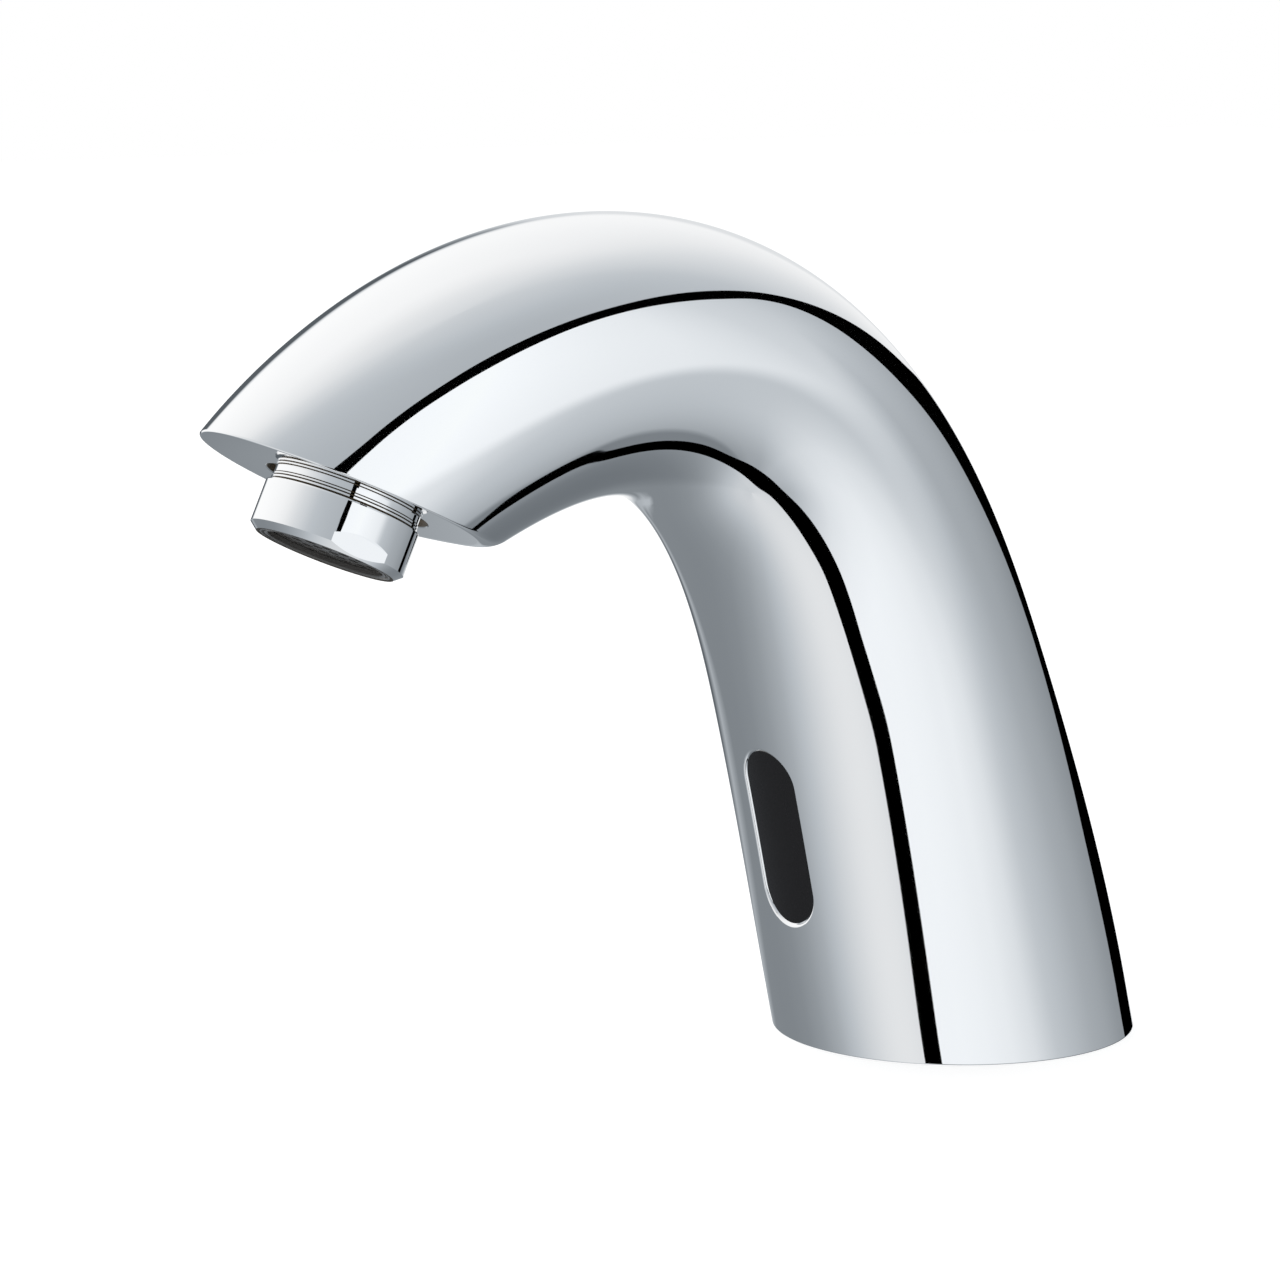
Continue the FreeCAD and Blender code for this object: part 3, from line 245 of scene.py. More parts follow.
PLATING = Finish(Slot.PLATED_BRASS, (0.95, 0.955, 0.96), (0.93, 0.937, 0.945), 0.015, 0.04,
                 metallic=1.0, patch_size=30 * MM, hairline=0.1)
RAW_BRASS = Finish(Slot.BRASS, (0.88, 0.69, 0.36), (0.70, 0.50, 0.22), 0.22, 0.42, metallic=1.0,
                   grain_size=0.25 * MM, grain_depth=0.01 * MM)
COPPER = Finish(Slot.COPPER_TUBE, (0.90, 0.52, 0.37), (0.66, 0.33, 0.21), 0.2, 0.45, metallic=1.0,
                grain_size=0.5 * MM, grain_depth=0.01 * MM)
STEEL = Finish(Slot.STEEL, (0.66, 0.66, 0.67), (0.50, 0.50, 0.52), 0.22, 0.38, metallic=1.0,
               grain_size=0.2 * MM, grain_depth=0.005 * MM)
STEEL_MESH = Finish(Slot.STEEL_MESH, (0.20, 0.19, 0.175), (0.09, 0.085, 0.08), 0.28, 0.45,
                    metallic=1.0, grain_size=0.1 * MM, grain_depth=0.01 * MM)
RUBBER = Finish(Slot.SEAL_RUBBER, (0.022, 0.022, 0.023), (0.045, 0.045, 0.046), 0.5, 0.72,
                grain_size=0.3 * MM, grain_depth=0.02 * MM)
JET_PLASTIC = Finish(Slot.JET_PLASTIC, (0.06, 0.058, 0.056), (0.11, 0.105, 0.10), 0.18, 0.34,
                     grain_size=0.35 * MM, grain_depth=0.01 * MM)
DARK_LENS = Finish(Slot.DARK_LENS, (0.0105, 0.0095, 0.0105), (0.013, 0.012, 0.013), 0.05, 0.09,
                   patch_size=9 * MM, hairline=0.1, specular=0.25)
SENSOR_PLASTIC = Finish(Slot.SENSOR_PLASTIC, (0.035, 0.036, 0.038), (0.06, 0.061, 0.064), 0.35, 0.5,
                        grain_size=0.3 * MM, grain_depth=0.02 * MM)
BOARD = Finish(Slot.BOARD, (0.02, 0.19, 0.08), (0.012, 0.12, 0.05), 0.3, 0.45,
               grain_size=0.8 * MM, grain_depth=0.01 * MM)
EYE_PLASTIC = Finish(Slot.EYE_PLASTIC, (0.05, 0.03, 0.05), (0.09, 0.06, 0.09), 0.08, 0.16,
                     grain_size=0.5 * MM, patch_size=4 * MM)
# Dark raw metal. On the aerator neck's grooves its darkness is painted shade, and it also darkens
# the outlet recess, the port and the body's inside.
RAW_CASTING_AND_PAINTED_SHADE = Finish(Slot.PLATED_BRASS, (0.10, 0.075, 0.045), (0.05, 0.036, 0.022), 0.4, 0.6,
                     metallic=1.0, grain_size=0.3 * MM, grain_depth=0.02 * MM, name="raw_casting_and_painted_shade")
FINISHES = (PLATING, RAW_BRASS, COPPER, STEEL, STEEL_MESH, RUBBER, JET_PLASTIC, DARK_LENS,
            SENSOR_PLASTIC, BOARD, EYE_PLASTIC)


# ---------------------------------------------------------------- the body's form

@dataclass(frozen=True)
class TapForm:
    """The cast body's outer form: elliptical sections along a bent centreline."""

    foot_radius: float = 30.0 * MM
    lean: float = math.radians(13.4)
    leg_radius: float = 700.0 * MM
    leg_run: float = 59.0 * MM
    ease_in: float = 71.0 * MM
    bend_radius: float = 42.8 * MM
    ease_out: float = 59.5 * MM
    spout_radius: float = 146.0 * MM
    spout_run: float = 27.0 * MM
    spout_half_width: float = 26.1 * MM
    tip_closing: float = 12.1 * MM
    tip_sharpness: float = 8.0
    half_depths: tuple[float, ...] = (26.5 * MM, 22.8 * MM, 21.6 * MM, 19.5 * MM)
    step: float = 0.25 * MM
    outlet_inset: float = 18.3 * MM
    outlet_drop: float = 2.0 * MM
    outlet_tilt: float = math.radians(25.4)

    @property
    def marks(self) -> np.ndarray:
        """Centreline lengths where the curvature's run changes."""
        runs = [self.leg_run, self.ease_in, self.ease_out, self.spout_run]
        return np.concatenate([[0.0], np.cumsum(runs)])

    @property
    def length(self) -> float:
        """The centreline's whole length."""
        return float(self.marks[-1])

    def curvature(self, s: np.ndarray) -> np.ndarray:
        """How much the centreline bends.

        Args:
            s: Centreline lengths.

        Returns:
            The curvature at each length, zero below the foot.
        """
        radii = [self.leg_radius, self.leg_radius, self.bend_radius, self.spout_radius,
                 self.spout_radius]
        bends = np.interp(s, self.marks, 1 / np.array(radii))
        return np.where(np.asarray(s) < 0, 0.0, bends)

    def centreline(self, s: np.ndarray) -> tuple[np.ndarray, np.ndarray, np.ndarray]:
        """Where the centreline runs; straight on below the foot.

        Args:
            s: Centreline lengths.

        Returns:
            Y, Z and lean at each length.
        """
        count = int(math.ceil(self.length / self.step))
        turns = self.curvature((np.arange(count) + 0.5) * self.step) * self.step
        leans = self.lean + np.concatenate([[0.0], np.cumsum(turns)])
        middles = leans[:-1] + turns / 2
        ys = np.concatenate([[0.0], np.cumsum(-np.sin(middles) * self.step)])
        zs = np.concatenate([[0.0], np.cumsum(np.cos(middles) * self.step)])
        known = np.arange(count + 1) * self.step
        below = np.minimum(s, 0.0)
        y = np.interp(s, known, ys) - math.sin(self.lean) * below
        z = np.interp(s, known, zs) + math.cos(self.lean) * below
        return y, z, np.interp(s, known, leans)

    def section(self, s: np.ndarray) -> tuple[np.ndarray, ...]:
        """The ellipse at length s.

        Args:
            s: Centreline lengths.

        Returns:
            Half width, half depth, and how fast each changes along the centreline.
        """
        share = np.maximum(s, 0.0) / self.length
        taper = (self.spout_half_width - self.foot_radius) / self.length
        closing = self.tip_closing * share ** self.tip_sharpness
        width = self.foot_radius + taper * np.asarray(s) - closing
        closing_rate = self.tip_closing * self.tip_sharpness * share ** (self.tip_sharpness - 1)
        width_rate = taper - closing_rate / self.length
        depths = [self.foot_radius * math.cos(self.lean), *self.half_depths]
        curve = np.poly1d(np.polyfit(np.linspace(0, 1, len(depths)), depths, len(depths) - 1))
        depth_rate = np.where(np.asarray(s) < 0, 0.0, curve.deriv()(share) / self.length)
        return width, curve(share), width_rate, depth_rate

    def surface(self, s: np.ndarray, angle: np.ndarray,
                inset: float = 0.0) -> tuple[np.ndarray, np.ndarray]:
        """Points of the skin and their outward normals.

        Args:
            s: Centreline lengths.
            angle: Angles round the section; a quarter turn is the upper or back line.
            inset: How far the section is drawn in.

        Returns:
            Points and unit normals.
        """
        y, z, lean = self.centreline(s)
        width, depth, width_rate, depth_rate = self.section(s)
        width, depth = width - inset, depth - inset
        ca, sa, cl, sl = np.cos(angle), np.sin(angle), np.cos(lean), np.sin(lean)
        points = np.stack([width * ca, y + cl * depth * sa, z + sl * depth * sa], -1)
        swell = 1 + self.curvature(s) * depth * sa
        along = np.stack([width_rate * ca, -sl * swell + cl * depth_rate * sa,
                          cl * swell + sl * depth_rate * sa], -1)
        around = np.stack([-width * sa, cl * depth * ca, sl * depth * ca], -1)
        normals = np.cross(around, along)
        return points, normals / np.linalg.norm(normals, axis=-1, keepdims=True)

    def locate(self, points: np.ndarray) -> tuple[np.ndarray, np.ndarray]:
        """The section and the angle that each point lies at.

        Args:
            points: Points on or near the skin.

        Returns:
            Centreline lengths and angles.
        """
        low = np.full(len(points), -30 * MM)
        high = np.full(len(points), self.length)
        for _ in range(36):
            middle = (low + high) / 2
            y, z, lean = self.centreline(middle)
            ahead = (points[:, 1] - y) * -np.sin(lean) + (points[:, 2] - z) * np.cos(lean) > 0
            low, high = np.where(ahead, middle, low), np.where(ahead, high, middle)
        y, z, lean = self.centreline(low)
        width, depth = self.section(low)[:2]
        up = (points[:, 1] - y) * np.cos(lean) + (points[:, 2] - z) * np.sin(lean)
        return low, np.arctan2(up / depth, points[:, 0] / width)

    @property
    def stream(self) -> np.ndarray:
        """The direction that the water leaves in."""
        return np.array([0.0, -math.sin(self.outlet_tilt), -math.cos(self.outlet_tilt)])

    @property
    def outlet(self) -> np.ndarray:
        """The outlet face's centre, a little under the centreline near its end."""
        y, z, lean = self.centreline(np.array(self.length - self.outlet_inset))
        drop = self.outlet_drop
        return np.array([0.0, y - math.cos(lean) * drop, z - math.sin(lean) * drop])


FORM = TapForm()


@dataclass(frozen=True)
class Cap:
    """A plane that ends the skin, with the rounding between the two."""

    origin: np.ndarray
    out: np.ndarray
    radius: float
    heel_radius: float = 0.0
    heel_angle: float = -math.pi / 2
    heel_spread: float = math.radians(38)
    steps: int = 12

    def radii(self, angles: np.ndarray) -> np.ndarray:
        """The rounding's radius, which swells at the heel.

        Args:
            angles: Angles round the section.

        Returns:
            A radius for each angle.
        """
        away = (angles - self.heel_angle + math.pi) % TURN - math.pi
        share = np.exp(-(away / self.heel_spread) ** 2)
        return self.radius + (max(self.heel_radius, self.radius) - self.radius) * share

    def ends(self, angles: np.ndarray, low: float, high: float,
             inset: float = 0.0, rounded: bool = True) -> np.ndarray:
        """Where each line of the skin stops, so that a ball of the rounding's radius fits.

        Args:
            angles: Angles round the section.
            low: Centreline length inside the plane.
            high: Centreline length beyond it.
            inset: How far the skin is drawn in.
            rounded: Whether the rounding's radius is left free.

        Returns:
            A centreline length for each angle.
        """
        near, far = np.full(len(angles), low), np.full(len(angles), high)
        radii = self.radii(angles) if rounded else np.zeros(len(angles))
        for _ in range(40):
            middle = (near + far) / 2
            points, normals = FORM.surface(middle, angles, inset)
            centres = points - normals * radii[:, None]
            inside = (centres - self.origin) @ self.out < -radii
            near, far = np.where(inside, middle, near), np.where(inside, far, middle)
        return near

    def arcs(self, points: np.ndarray, normals: np.ndarray,
             angles: np.ndarray) -> list[tuple[np.ndarray, np.ndarray]]:
        """The rounding, from the skin's last points round to the plane.

        Args:
            points: The skin's last points.
            normals: Their normals.
            angles: Their angles round the section.

        Returns:
            Rows of points and normals.
        """
        radii = self.radii(angles)[:, None]
        centres = points - normals * radii
        total = np.arccos(np.clip(normals @ self.out, -1, 1))[:, None]
        rows = []
        for i in range(1, self.steps + 1):
            share = i / self.steps
            turned = (normals * np.sin((1 - share) * total) + self.out * np.sin(share * total))
            turned = turned / np.sin(total)
            rows.append((centres + turned * radii, turned))
        return rows


# ---------------------------------------------------------------- mesh helpers

def new_piece(name: str, mesh: bpy.types.Mesh, body: Body, finish: Finish,
              replaces: tuple[str, ...] = ()) -> bpy.types.Object:
    """Puts a finished mesh into the scene as a piece of the tap.

    Args:
        name: The piece's name.
        mesh: Its mesh, in place.
        body: The body that it rides on.
        finish: Its finish.
        replaces: The frame's nodes that it stands for.

    Returns:
        The piece.
    """
    piece = bpy.data.objects.new(name, mesh)
    bpy.context.scene.collection.objects.link(piece)
    if not mesh.materials:
        mesh.materials.append(finish.material())
    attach(piece, body.value)
    if replaces:
        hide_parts(*replaces)
    log.info("%s: %d faces", name, len(mesh.polygons))
    return piece


def ring_faces(count: int, rings: int, start: int = 0,
               joined: bool = False) -> list[tuple[int, ...]]:
    """Quads between rings of points that follow each other.

    Args:
        count: Points in each ring.
        rings: How many rings there are.
        start: The number of the first ring's first point.
        joined: Whether the last ring joins the first.

    Returns:
        The quads.
    """
    faces = []
    for i in range(rings if joined else rings - 1):
        a, b = start + i * count, start + (i + 1) % rings * count
        for j in range(count):
            k = (j + 1) % count
            faces.append((a + j, a + k, b + k, b + j))
    return faces


def ring_mesh(name: str, rows: list[np.ndarray]) -> bpy.types.Mesh:
    """A closed mesh of rings, of which the last joins the first.

    Args:
        name: The mesh's name.
        rows: The rings, each with as many points.

    Returns:
        The mesh, with its faces outwards.
    """
    mesh = bpy.data.meshes.new(name)
    faces = ring_faces(len(rows[0]), len(rows), joined=True)
    mesh.from_pydata(np.concatenate(rows).tolist(), [], faces)
    outwards(mesh)
    return mesh


def outwards(mesh: bpy.types.Mesh) -> None:
    """Turns a closed mesh's faces outwards.

    Args:
        mesh: The mesh.
    """
    build = bmesh.new()
    build.from_mesh(mesh)
    bmesh.ops.recalc_face_normals(build, faces=build.faces)
    if build.calc_volume(signed=True) < 0:
        bmesh.ops.reverse_faces(build, faces=build.faces)
    build.to_mesh(mesh)
    build.free()


def set_normals(mesh: bpy.types.Mesh, known: np.ndarray) -> None:
    """Shades a mesh smoothly, with exact normals where they are known.

    Args:
        mesh: The mesh.
        known: A normal for each vertex, or zero where none is known.
    """
    mesh.shade_smooth()
    mesh.set_sharp_from_angle(angle=SMOOTH_LIMIT)
    loops = len(mesh.loops)
    corner = np.zeros(loops * 3)
    mesh.corner_normals.foreach_get("vector", corner)
    corner = corner.reshape(-1, 3)
    vertex = np.zeros(loops, int)
    mesh.loops.foreach_get("vertex_index", vertex)
    faces = np.zeros(len(mesh.polygons) * 3)
    mesh.polygons.foreach_get("normal", faces)
    sides = np.zeros(len(mesh.polygons), int)
    mesh.polygons.foreach_get("loop_total", sides)
    face = np.repeat(faces.reshape(-1, 3), sides, axis=0)
    wanted = known[vertex]
    close = np.einsum("ij,ij->i", wanted, face) > math.cos(SMOOTH_LIMIT)
    corner[close] = wanted[close]
    mesh.normals_split_custom_set(corner.tolist())


def points_of(mesh: bpy.types.Mesh) -> np.ndarray:
    """Where a mesh's vertices are.

    Args:
        mesh: The mesh.

    Returns:
        One row for each vertex.
    """
    flat = np.zeros(len(mesh.vertices) * 3)
    mesh.vertices.foreach_get("co", flat)
    return flat.reshape(-1, 3)


def carved(mesh: bpy.types.Mesh, cutters: list[bpy.types.Object]) -> bpy.types.Mesh:
    """Cuts bodies out of a mesh one after the other, and deletes them.

    Args:
        mesh: The mesh to cut.
        cutters: The bodies to cut away.

    Returns:
        The cut mesh.
    """
    blank = bpy.data.objects.new(mesh.name, mesh)
    bpy.context.scene.collection.objects.link(blank)
    for cutter in cutters:
        cut = blank.modifiers.new("cut", "BOOLEAN")
        cut.operation = "DIFFERENCE"
        cut.solver = "EXACT"
        cut.object = cutter
        bpy.context.view_layer.update()
        graph = bpy.context.evaluated_depsgraph_get()
        shaped = bpy.data.meshes.new_from_object(blank.evaluated_get(graph))
        blank.modifiers.clear()
        blank.data = shaped
        bpy.data.objects.remove(cutter)
    shaped = blank.data
    bpy.data.objects.remove(blank)
    return shaped


def closed_prism(name: str, rows: list[np.ndarray]) -> bpy.types.Object:
    """A cutting body from rings, with a face at each end.

    Args:
        name: Its name.
        rows: The rings, each with as many points.

    Returns:
        The cutting body.
    """
    build = bmesh.new()
    rings = [[build.verts.new(p) for p in row] for row in rows]
    for lower, upper in zip(rings, rings[1:]):
        for j in range(len(lower)):
            k = (j + 1) % len(lower)
            build.faces.new((lower[j], lower[k], upper[k], upper[j]))
    build.faces.new(rings[0])
    build.faces.new(rings[-1])
    bmesh.ops.recalc_face_normals(build, faces=build.faces)
    mesh = bpy.data.meshes.new(name)
    build.to_mesh(mesh)
    build.free()
    cutter = bpy.data.objects.new(name, mesh)
    bpy.context.scene.collection.objects.link(cutter)
    return cutter


# ---------------------------------------------------------------- sub-assemblies

@dataclass
class SubAssembly:
    """Nodes of the frame that belong together, and the finer pieces that stand for some."""

    nodes: tuple[str, ...] = ()
    mirrored: tuple[str, ...] = ()

    def dress(self) -> None:
        """Gives each node the finish of its slot; the plating mirrors only the named ones."""
        finishes = {finish.slot.value: finish for finish in FINISHES}
        for name in self.nodes:
            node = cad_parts[name]
            node.visible_glossy = name in self.mirrored
            slot = node.data.materials[0].name.split(".")[0]
            for index in range(len(node.data.materials)):
                node.data.materials[index] = finishes[slot].material()
            log.info("%s: %s", name, slot)

    def build(self) -> None:
        """Builds the finer pieces; a sub-assembly that shows its own nodes has none."""


@dataclass
class FootFittings(SubAssembly):
    """What closes the foot and holds it to the deck."""

    nodes: tuple[str, ...] = ("base_plug", "plug_ring", "plug_screw_1", "plug_screw_2",
                              "plug_screw_3", "deck_gasket", "cable_grommet")


@dataclass
class WaterPath(SubAssembly):
    """The way of the water from the supply hose to the outlet."""

    nodes: tuple[str, ...] = ("inlet_fitting", "inlet_filter", "inlet_tube_olive",
                              "inlet_tube_nut", "water_tube", "outlet_tube_olive",
                              "outlet_tube_nut", "outlet_nipple", "nipple_ring")
    mirrored: tuple[str, ...] = ("outlet_nipple",)


@dataclass
class SensorEye(SubAssembly):
    """The sensor behind the window."""

    nodes: tuple[str, ...] = ("sensor_lens", "lens_gasket", "sensor_housing", "sensor_cover",
                              "circuit_board", "ir_emitter", "ir_receiver", "light_baffle",
                              "sensor_screw_1", "sensor_screw_2")


@dataclass
class CastBody(SubAssembly):
    """The plated body: a hollow bent form with a foot, a sensor window and an outlet face."""

    nodes: tuple[str, ...] = ("body_shell",)
    columns: int = 288
    rows: int = 300
    wall: float = 3.0 * MM
    foot_edge: float = 0.25 * MM
    outlet_edge: float = 0.35 * MM
    heel_edge: float = 11.0 * MM
    recess_radius: float = 12.7 * MM
    recess_depth: float = 1.2 * MM
    recess_chamfer: float = 0.15 * MM
    port_radius: float = 9.0 * MM
    outlet_wall: float = 7.0 * MM
    foot_bore: float = 24.0 * MM
    foot_bore_depth: float = 8.0 * MM
    ledge_bore: float = 18.5 * MM
    ledge_top: float = 12.0 * MM
    gasket_inner: float = 25.3 * MM
    gasket_outer: float = 28.7 * MM
    gasket_depth: float = 1.5 * MM
    window_station: float = 45.3 * MM
    window_width: float = 12.0 * MM
    window_length: float = 30.0 * MM
    window_rim: float = 0.5 * MM
    pocket_width: float = 18.6 * MM
    pocket_length: float = 36.6 * MM
    pocket_depth: float = 9.0 * MM
    overhang: float = 6.0 * MM
    window_points: int = 40
    window_side_points: int = 12
    rim_rows: int = 9
    rim_turn: float = math.radians(81)
    settle_rounds: int = 12

    @property
    def dark_rings(self) -> int:
        """How many of the last rings take the dark finish instead of the plating: the recess's side,
        the port and the inside.
        """
        recess_and_port, foot_steps = 4, 3
        return recess_and_port + self.rows // 4 + foot_steps

    def outlet_ring(self, around: np.ndarray, radius: float, depth: float) -> np.ndarray:
        """A circle of the outlet, with its points beside the given ones.

        Args:
            around: Points near the outlet face, one for each column.
            radius: The circle's radius.
            depth: How far it lies behind the face.

        Returns:
            The circle's points.
        """
        side = np.array([1.0, 0.0, 0.0])
        up = np.cross(FORM.stream, side)
        away = around - FORM.outlet
        angle = np.arctan2(away @ up, away @ side)
        flat = np.outer(np.cos(angle), side) + np.outer(np.sin(angle), up)
        return FORM.outlet - FORM.stream * depth + flat * radius

    def foot_ring(self, around: np.ndarray, radius: float, height: float) -> np.ndarray:
        """A level circle of the foot, with its points beside the given ones.

        Args:
            around: Points near the foot, one for each column.
            radius: The circle's radius.
            height: Its height over the deck.

        Returns:
            The circle's points.
        """
        angle = np.arctan2(around[:, 1], around[:, 0])
        ring = np.stack([np.cos(angle), np.sin(angle), np.zeros(len(angle))], -1) * radius
        return ring + np.array([0.0, 0.0, height])

    def ring_rows(self) -> tuple[list[np.ndarray], list[Optional[np.ndarray]]]:
        """The rings of the whole body, from the foot bore out, up and back inside.

        Returns:
            The rings and, for those of the outer skin, their normals.
        """
        angles = np.linspace(0, TURN, self.columns, endpoint=False)
        deck = Cap(np.zeros(3), np.array([0.0, 0.0, -1.0]), self.foot_edge, steps=4)
        face = Cap(FORM.outlet, FORM.stream, self.outlet_edge, self.heel_edge)
        halfway = FORM.length / 2
        low = deck.ends(angles, halfway, -BELOW_FOOT)
        high = face.ends(angles, halfway, FORM.length)
        skin = []
        for share in np.linspace(0, 1, self.rows):
            skin.append(FORM.surface(low + (high - low) * share, angles))
        foot_arcs = deck.arcs(*skin[0], angles)
        face_arcs = face.arcs(*skin[-1], angles)
        contact, rim = foot_arcs[-1][0], face_arcs[-1][0]
        rings = [(self.foot_ring(contact, self.foot_bore, 0.0), None),
                 (self.foot_ring(contact, self.gasket_inner, 0.0), None),
                 (self.foot_ring(contact, self.gasket_inner, self.gasket_depth), None),
                 (self.foot_ring(contact, self.gasket_outer, self.gasket_depth), None),
                 (self.foot_ring(contact, self.gasket_outer, 0.0), None)]
        rings += foot_arcs[::-1] + skin + face_arcs
        lip = self.recess_radius + self.recess_chamfer
        rings += [(self.outlet_ring(rim, lip, 0.0), np.tile(FORM.stream, (self.columns, 1))),
                  (self.outlet_ring(rim, self.recess_radius, self.recess_chamfer), None),
                  (self.outlet_ring(rim, self.recess_radius, self.recess_depth), None),
                  (self.outlet_ring(rim, self.port_radius, self.recess_depth), None),
                  (self.outlet_ring(rim, self.port_radius, self.outlet_wall), None)]
        back = Cap(FORM.outlet - FORM.stream * self.outlet_wall, FORM.stream, 0.0)
        ledge = Cap(np.array([0.0, 0.0, self.ledge_top]), np.array([0.0, 0.0, -1.0]), 0.0)
        inner_high = back.ends(angles, halfway, FORM.length, self.wall, rounded=False)
        inner_low = ledge.ends(angles, halfway, -BELOW_FOOT, self.wall, rounded=False)
        for share in np.linspace(1, 0, self.rows // 4):
            along = inner_low + (inner_high - inner_low) * share
            rings.append((FORM.surface(along, angles, self.wall)[0], None))
        rings += [(self.foot_ring(contact, self.ledge_bore, self.ledge_top), None),
                  (self.foot_ring(contact, self.ledge_bore, self.foot_bore_depth), None),
                  (self.foot_ring(contact, self.foot_bore, self.foot_bore_depth), None)]
        return [points for points, _ in rings], [normals for _, normals in rings]

    def window_frame(self) -> Matrix:
        """The window's own axes.

        Returns:
            Its place, with Z out of the leg and Y up along it.
        """
        front = np.full(3, -math.pi / 2)
        stations = self.window_station + np.array([-1.0, 0.0, 1.0]) * MM
        below, middle, above = FORM.surface(stations, front)[0]
        up = Vector(above - below).normalized()
        side = Vector((1.0, 0.0, 0.0))
        out = side.cross(up)
        return Matrix.LocRotScale(Vector(middle), Matrix((side, up, out)).transposed(), None)

    def slot_outline(self, width: float, length: float) -> tuple[np.ndarray, np.ndarray]:
        """The outline of a slot with round ends, up and down the Y axis.

        Args:
            width: The slot's width.
            length: Its whole length.

        Returns:
            Points of the outline and their outward directions.
        """
        radius, straight = width / 2, (length - width) / 2
        half = np.linspace(0, math.pi, self.window_points)
        angle = np.concatenate([half, half + math.pi])
        out = np.stack([np.cos(angle), np.sin(angle)], -1)
        shift = np.where(np.arange(len(angle)) < self.window_points, straight, -straight)
        points = out * radius + np.stack([np.zeros(len(angle)), shift], -1)
        points = np.concatenate([points, points[:1]])
        out = np.concatenate([out, out[:1]])
        full, full_out = [], []
        for i in range(len(points) - 1):
            gap = np.linalg.norm(points[i + 1] - points[i])
            pieces = self.window_side_points if gap > width / 2 else 1
            for k in range(pieces):
                full.append(points[i] + (points[i + 1] - points[i]) * k / pieces)
                full_out.append(out[i])
        return np.array(full), np.array(full_out)

    def window_cutter(self) -> bpy.types.Object:
        """The window's slot, flared by the rounding between it and the skin.

        Returns:
            The cutting body.
        """
        place = self.window_frame()
        turn = np.array(place.to_3x3())
        origin = np.array(place.translation)
        flat, out = self.slot_outline(self.window_width, self.window_length)
        out_3d = out @ turn[:, :2].T
        centres = origin + (flat + out * self.window_rim) @ turn[:, :2].T
        axis = turn[:, 2]
        depth = np.full(len(flat), -self.window_rim)
        for _ in range(self.settle_rounds):
            spots = centres + np.outer(depth, axis)
            s, angle = FORM.locate(spots)
            skin, normals = FORM.surface(s, angle)
            gap = np.einsum("ij,ij->i", spots - skin, normals)
            depth -= (gap + self.window_rim) / (normals @ axis)
        spots = centres + np.outer(depth, axis)
        s, angle = FORM.locate(spots)
        normals = FORM.surface(s, angle)[1]
        floor = spots - out_3d * self.window_rim
        past_wall = 1 * MM
        floor = floor - np.outer((floor - origin) @ axis + self.wall + past_wall, axis)
        rows = [floor]
        total = np.arccos(np.clip(np.einsum("ij,ij->i", -out_3d, normals), -1, 1))[:, None]
        across = normals + out_3d * np.cos(total)
        across = across / np.linalg.norm(across, axis=1, keepdims=True)
        reach = np.minimum(total, self.rim_turn)
        for i in range(self.rim_rows):
            share = reach * i / (self.rim_rows - 1)
            rows.append(spots + (-out_3d * np.cos(share) + across * np.sin(share)) * self.window_rim)
        rows.append(rows[-1] + np.outer(np.full(len(flat), self.overhang), axis))
        return closed_prism("window_cutter", rows)

    def pocket_cutter(self) -> bpy.types.Object:
        """The room behind the window, for the lens and the sensor.

        Returns:
            The cutting body.
        """
        place = self.window_frame()
        turn = np.array(place.to_3x3())
        flat, _ = self.slot_outline(self.pocket_width, self.pocket_length)
        base = np.array(place.translation) + flat @ turn[:, :2].T
        rows = [base - turn[:, 2] * (self.wall + self.pocket_depth), base - turn[:, 2] * self.wall]
        return closed_prism("pocket_cutter", rows)

    def build(self) -> None:
        """Builds and dresses the body, which doesn't mirror itself."""
        rows, normals = self.ring_rows()
        mesh = ring_mesh("plated_body", rows)
        mesh.materials.append(PLATING.material())
        mesh.materials.append(RAW_CASTING_AND_PAINTED_SHADE.material())
        first_dark = len(rows) - self.dark_rings
        inner = [int(i >= first_dark * self.columns) for i in range(len(mesh.polygons))]
        mesh.polygons.foreach_set("material_index", inner)
        grid = points_of(mesh)
        grid_normals = np.zeros_like(grid)
        for i, row in enumerate(normals):
            if row is not None:
                grid_normals[i * self.columns:(i + 1) * self.columns] = row
        shaped = carved(mesh, [self.pocket_cutter(), self.window_cutter()])
        set_normals(shaped, self.known_normals(points_of(shaped), grid, grid_normals))
        piece = new_piece("plated_body", shaped, Body.TAP, PLATING, ("body_shell",))
        piece.visible_glossy = False

    def known_normals(self, points: np.ndarray, grid: np.ndarray,
                      grid_normals: np.ndarray) -> np.ndarray:
        """Exact normals for the vertices that kept their place, and for new ones on the skin.

        Args:
            points: The cut mesh's vertices.
            grid: The vertices before the cuts.
            grid_normals: Their normals, zero where none is known.

        Returns:
            A normal for each point, zero where none is known.
        """
        places = {tuple(np.round(p / SAME_SPOT).astype(int)): i for i, p in enumerate(grid)}
        known = np.zeros_like(points)
        fresh = []
        for i, p in enumerate(points):
            found = places.get(tuple(np.round(p / SAME_SPOT).astype(int)))
            if found is None:
                fresh.append(i)
            else:
                known[i] = grid_normals[found]
        fresh = np.array(fresh, int)
        s, angle = FORM.locate(points[fresh])
        skin, normals = FORM.surface(s, angle)
        near = np.linalg.norm(points[fresh] - skin, axis=1) < ON_SKIN
        known[fresh[near]] = normals[near]
        return known


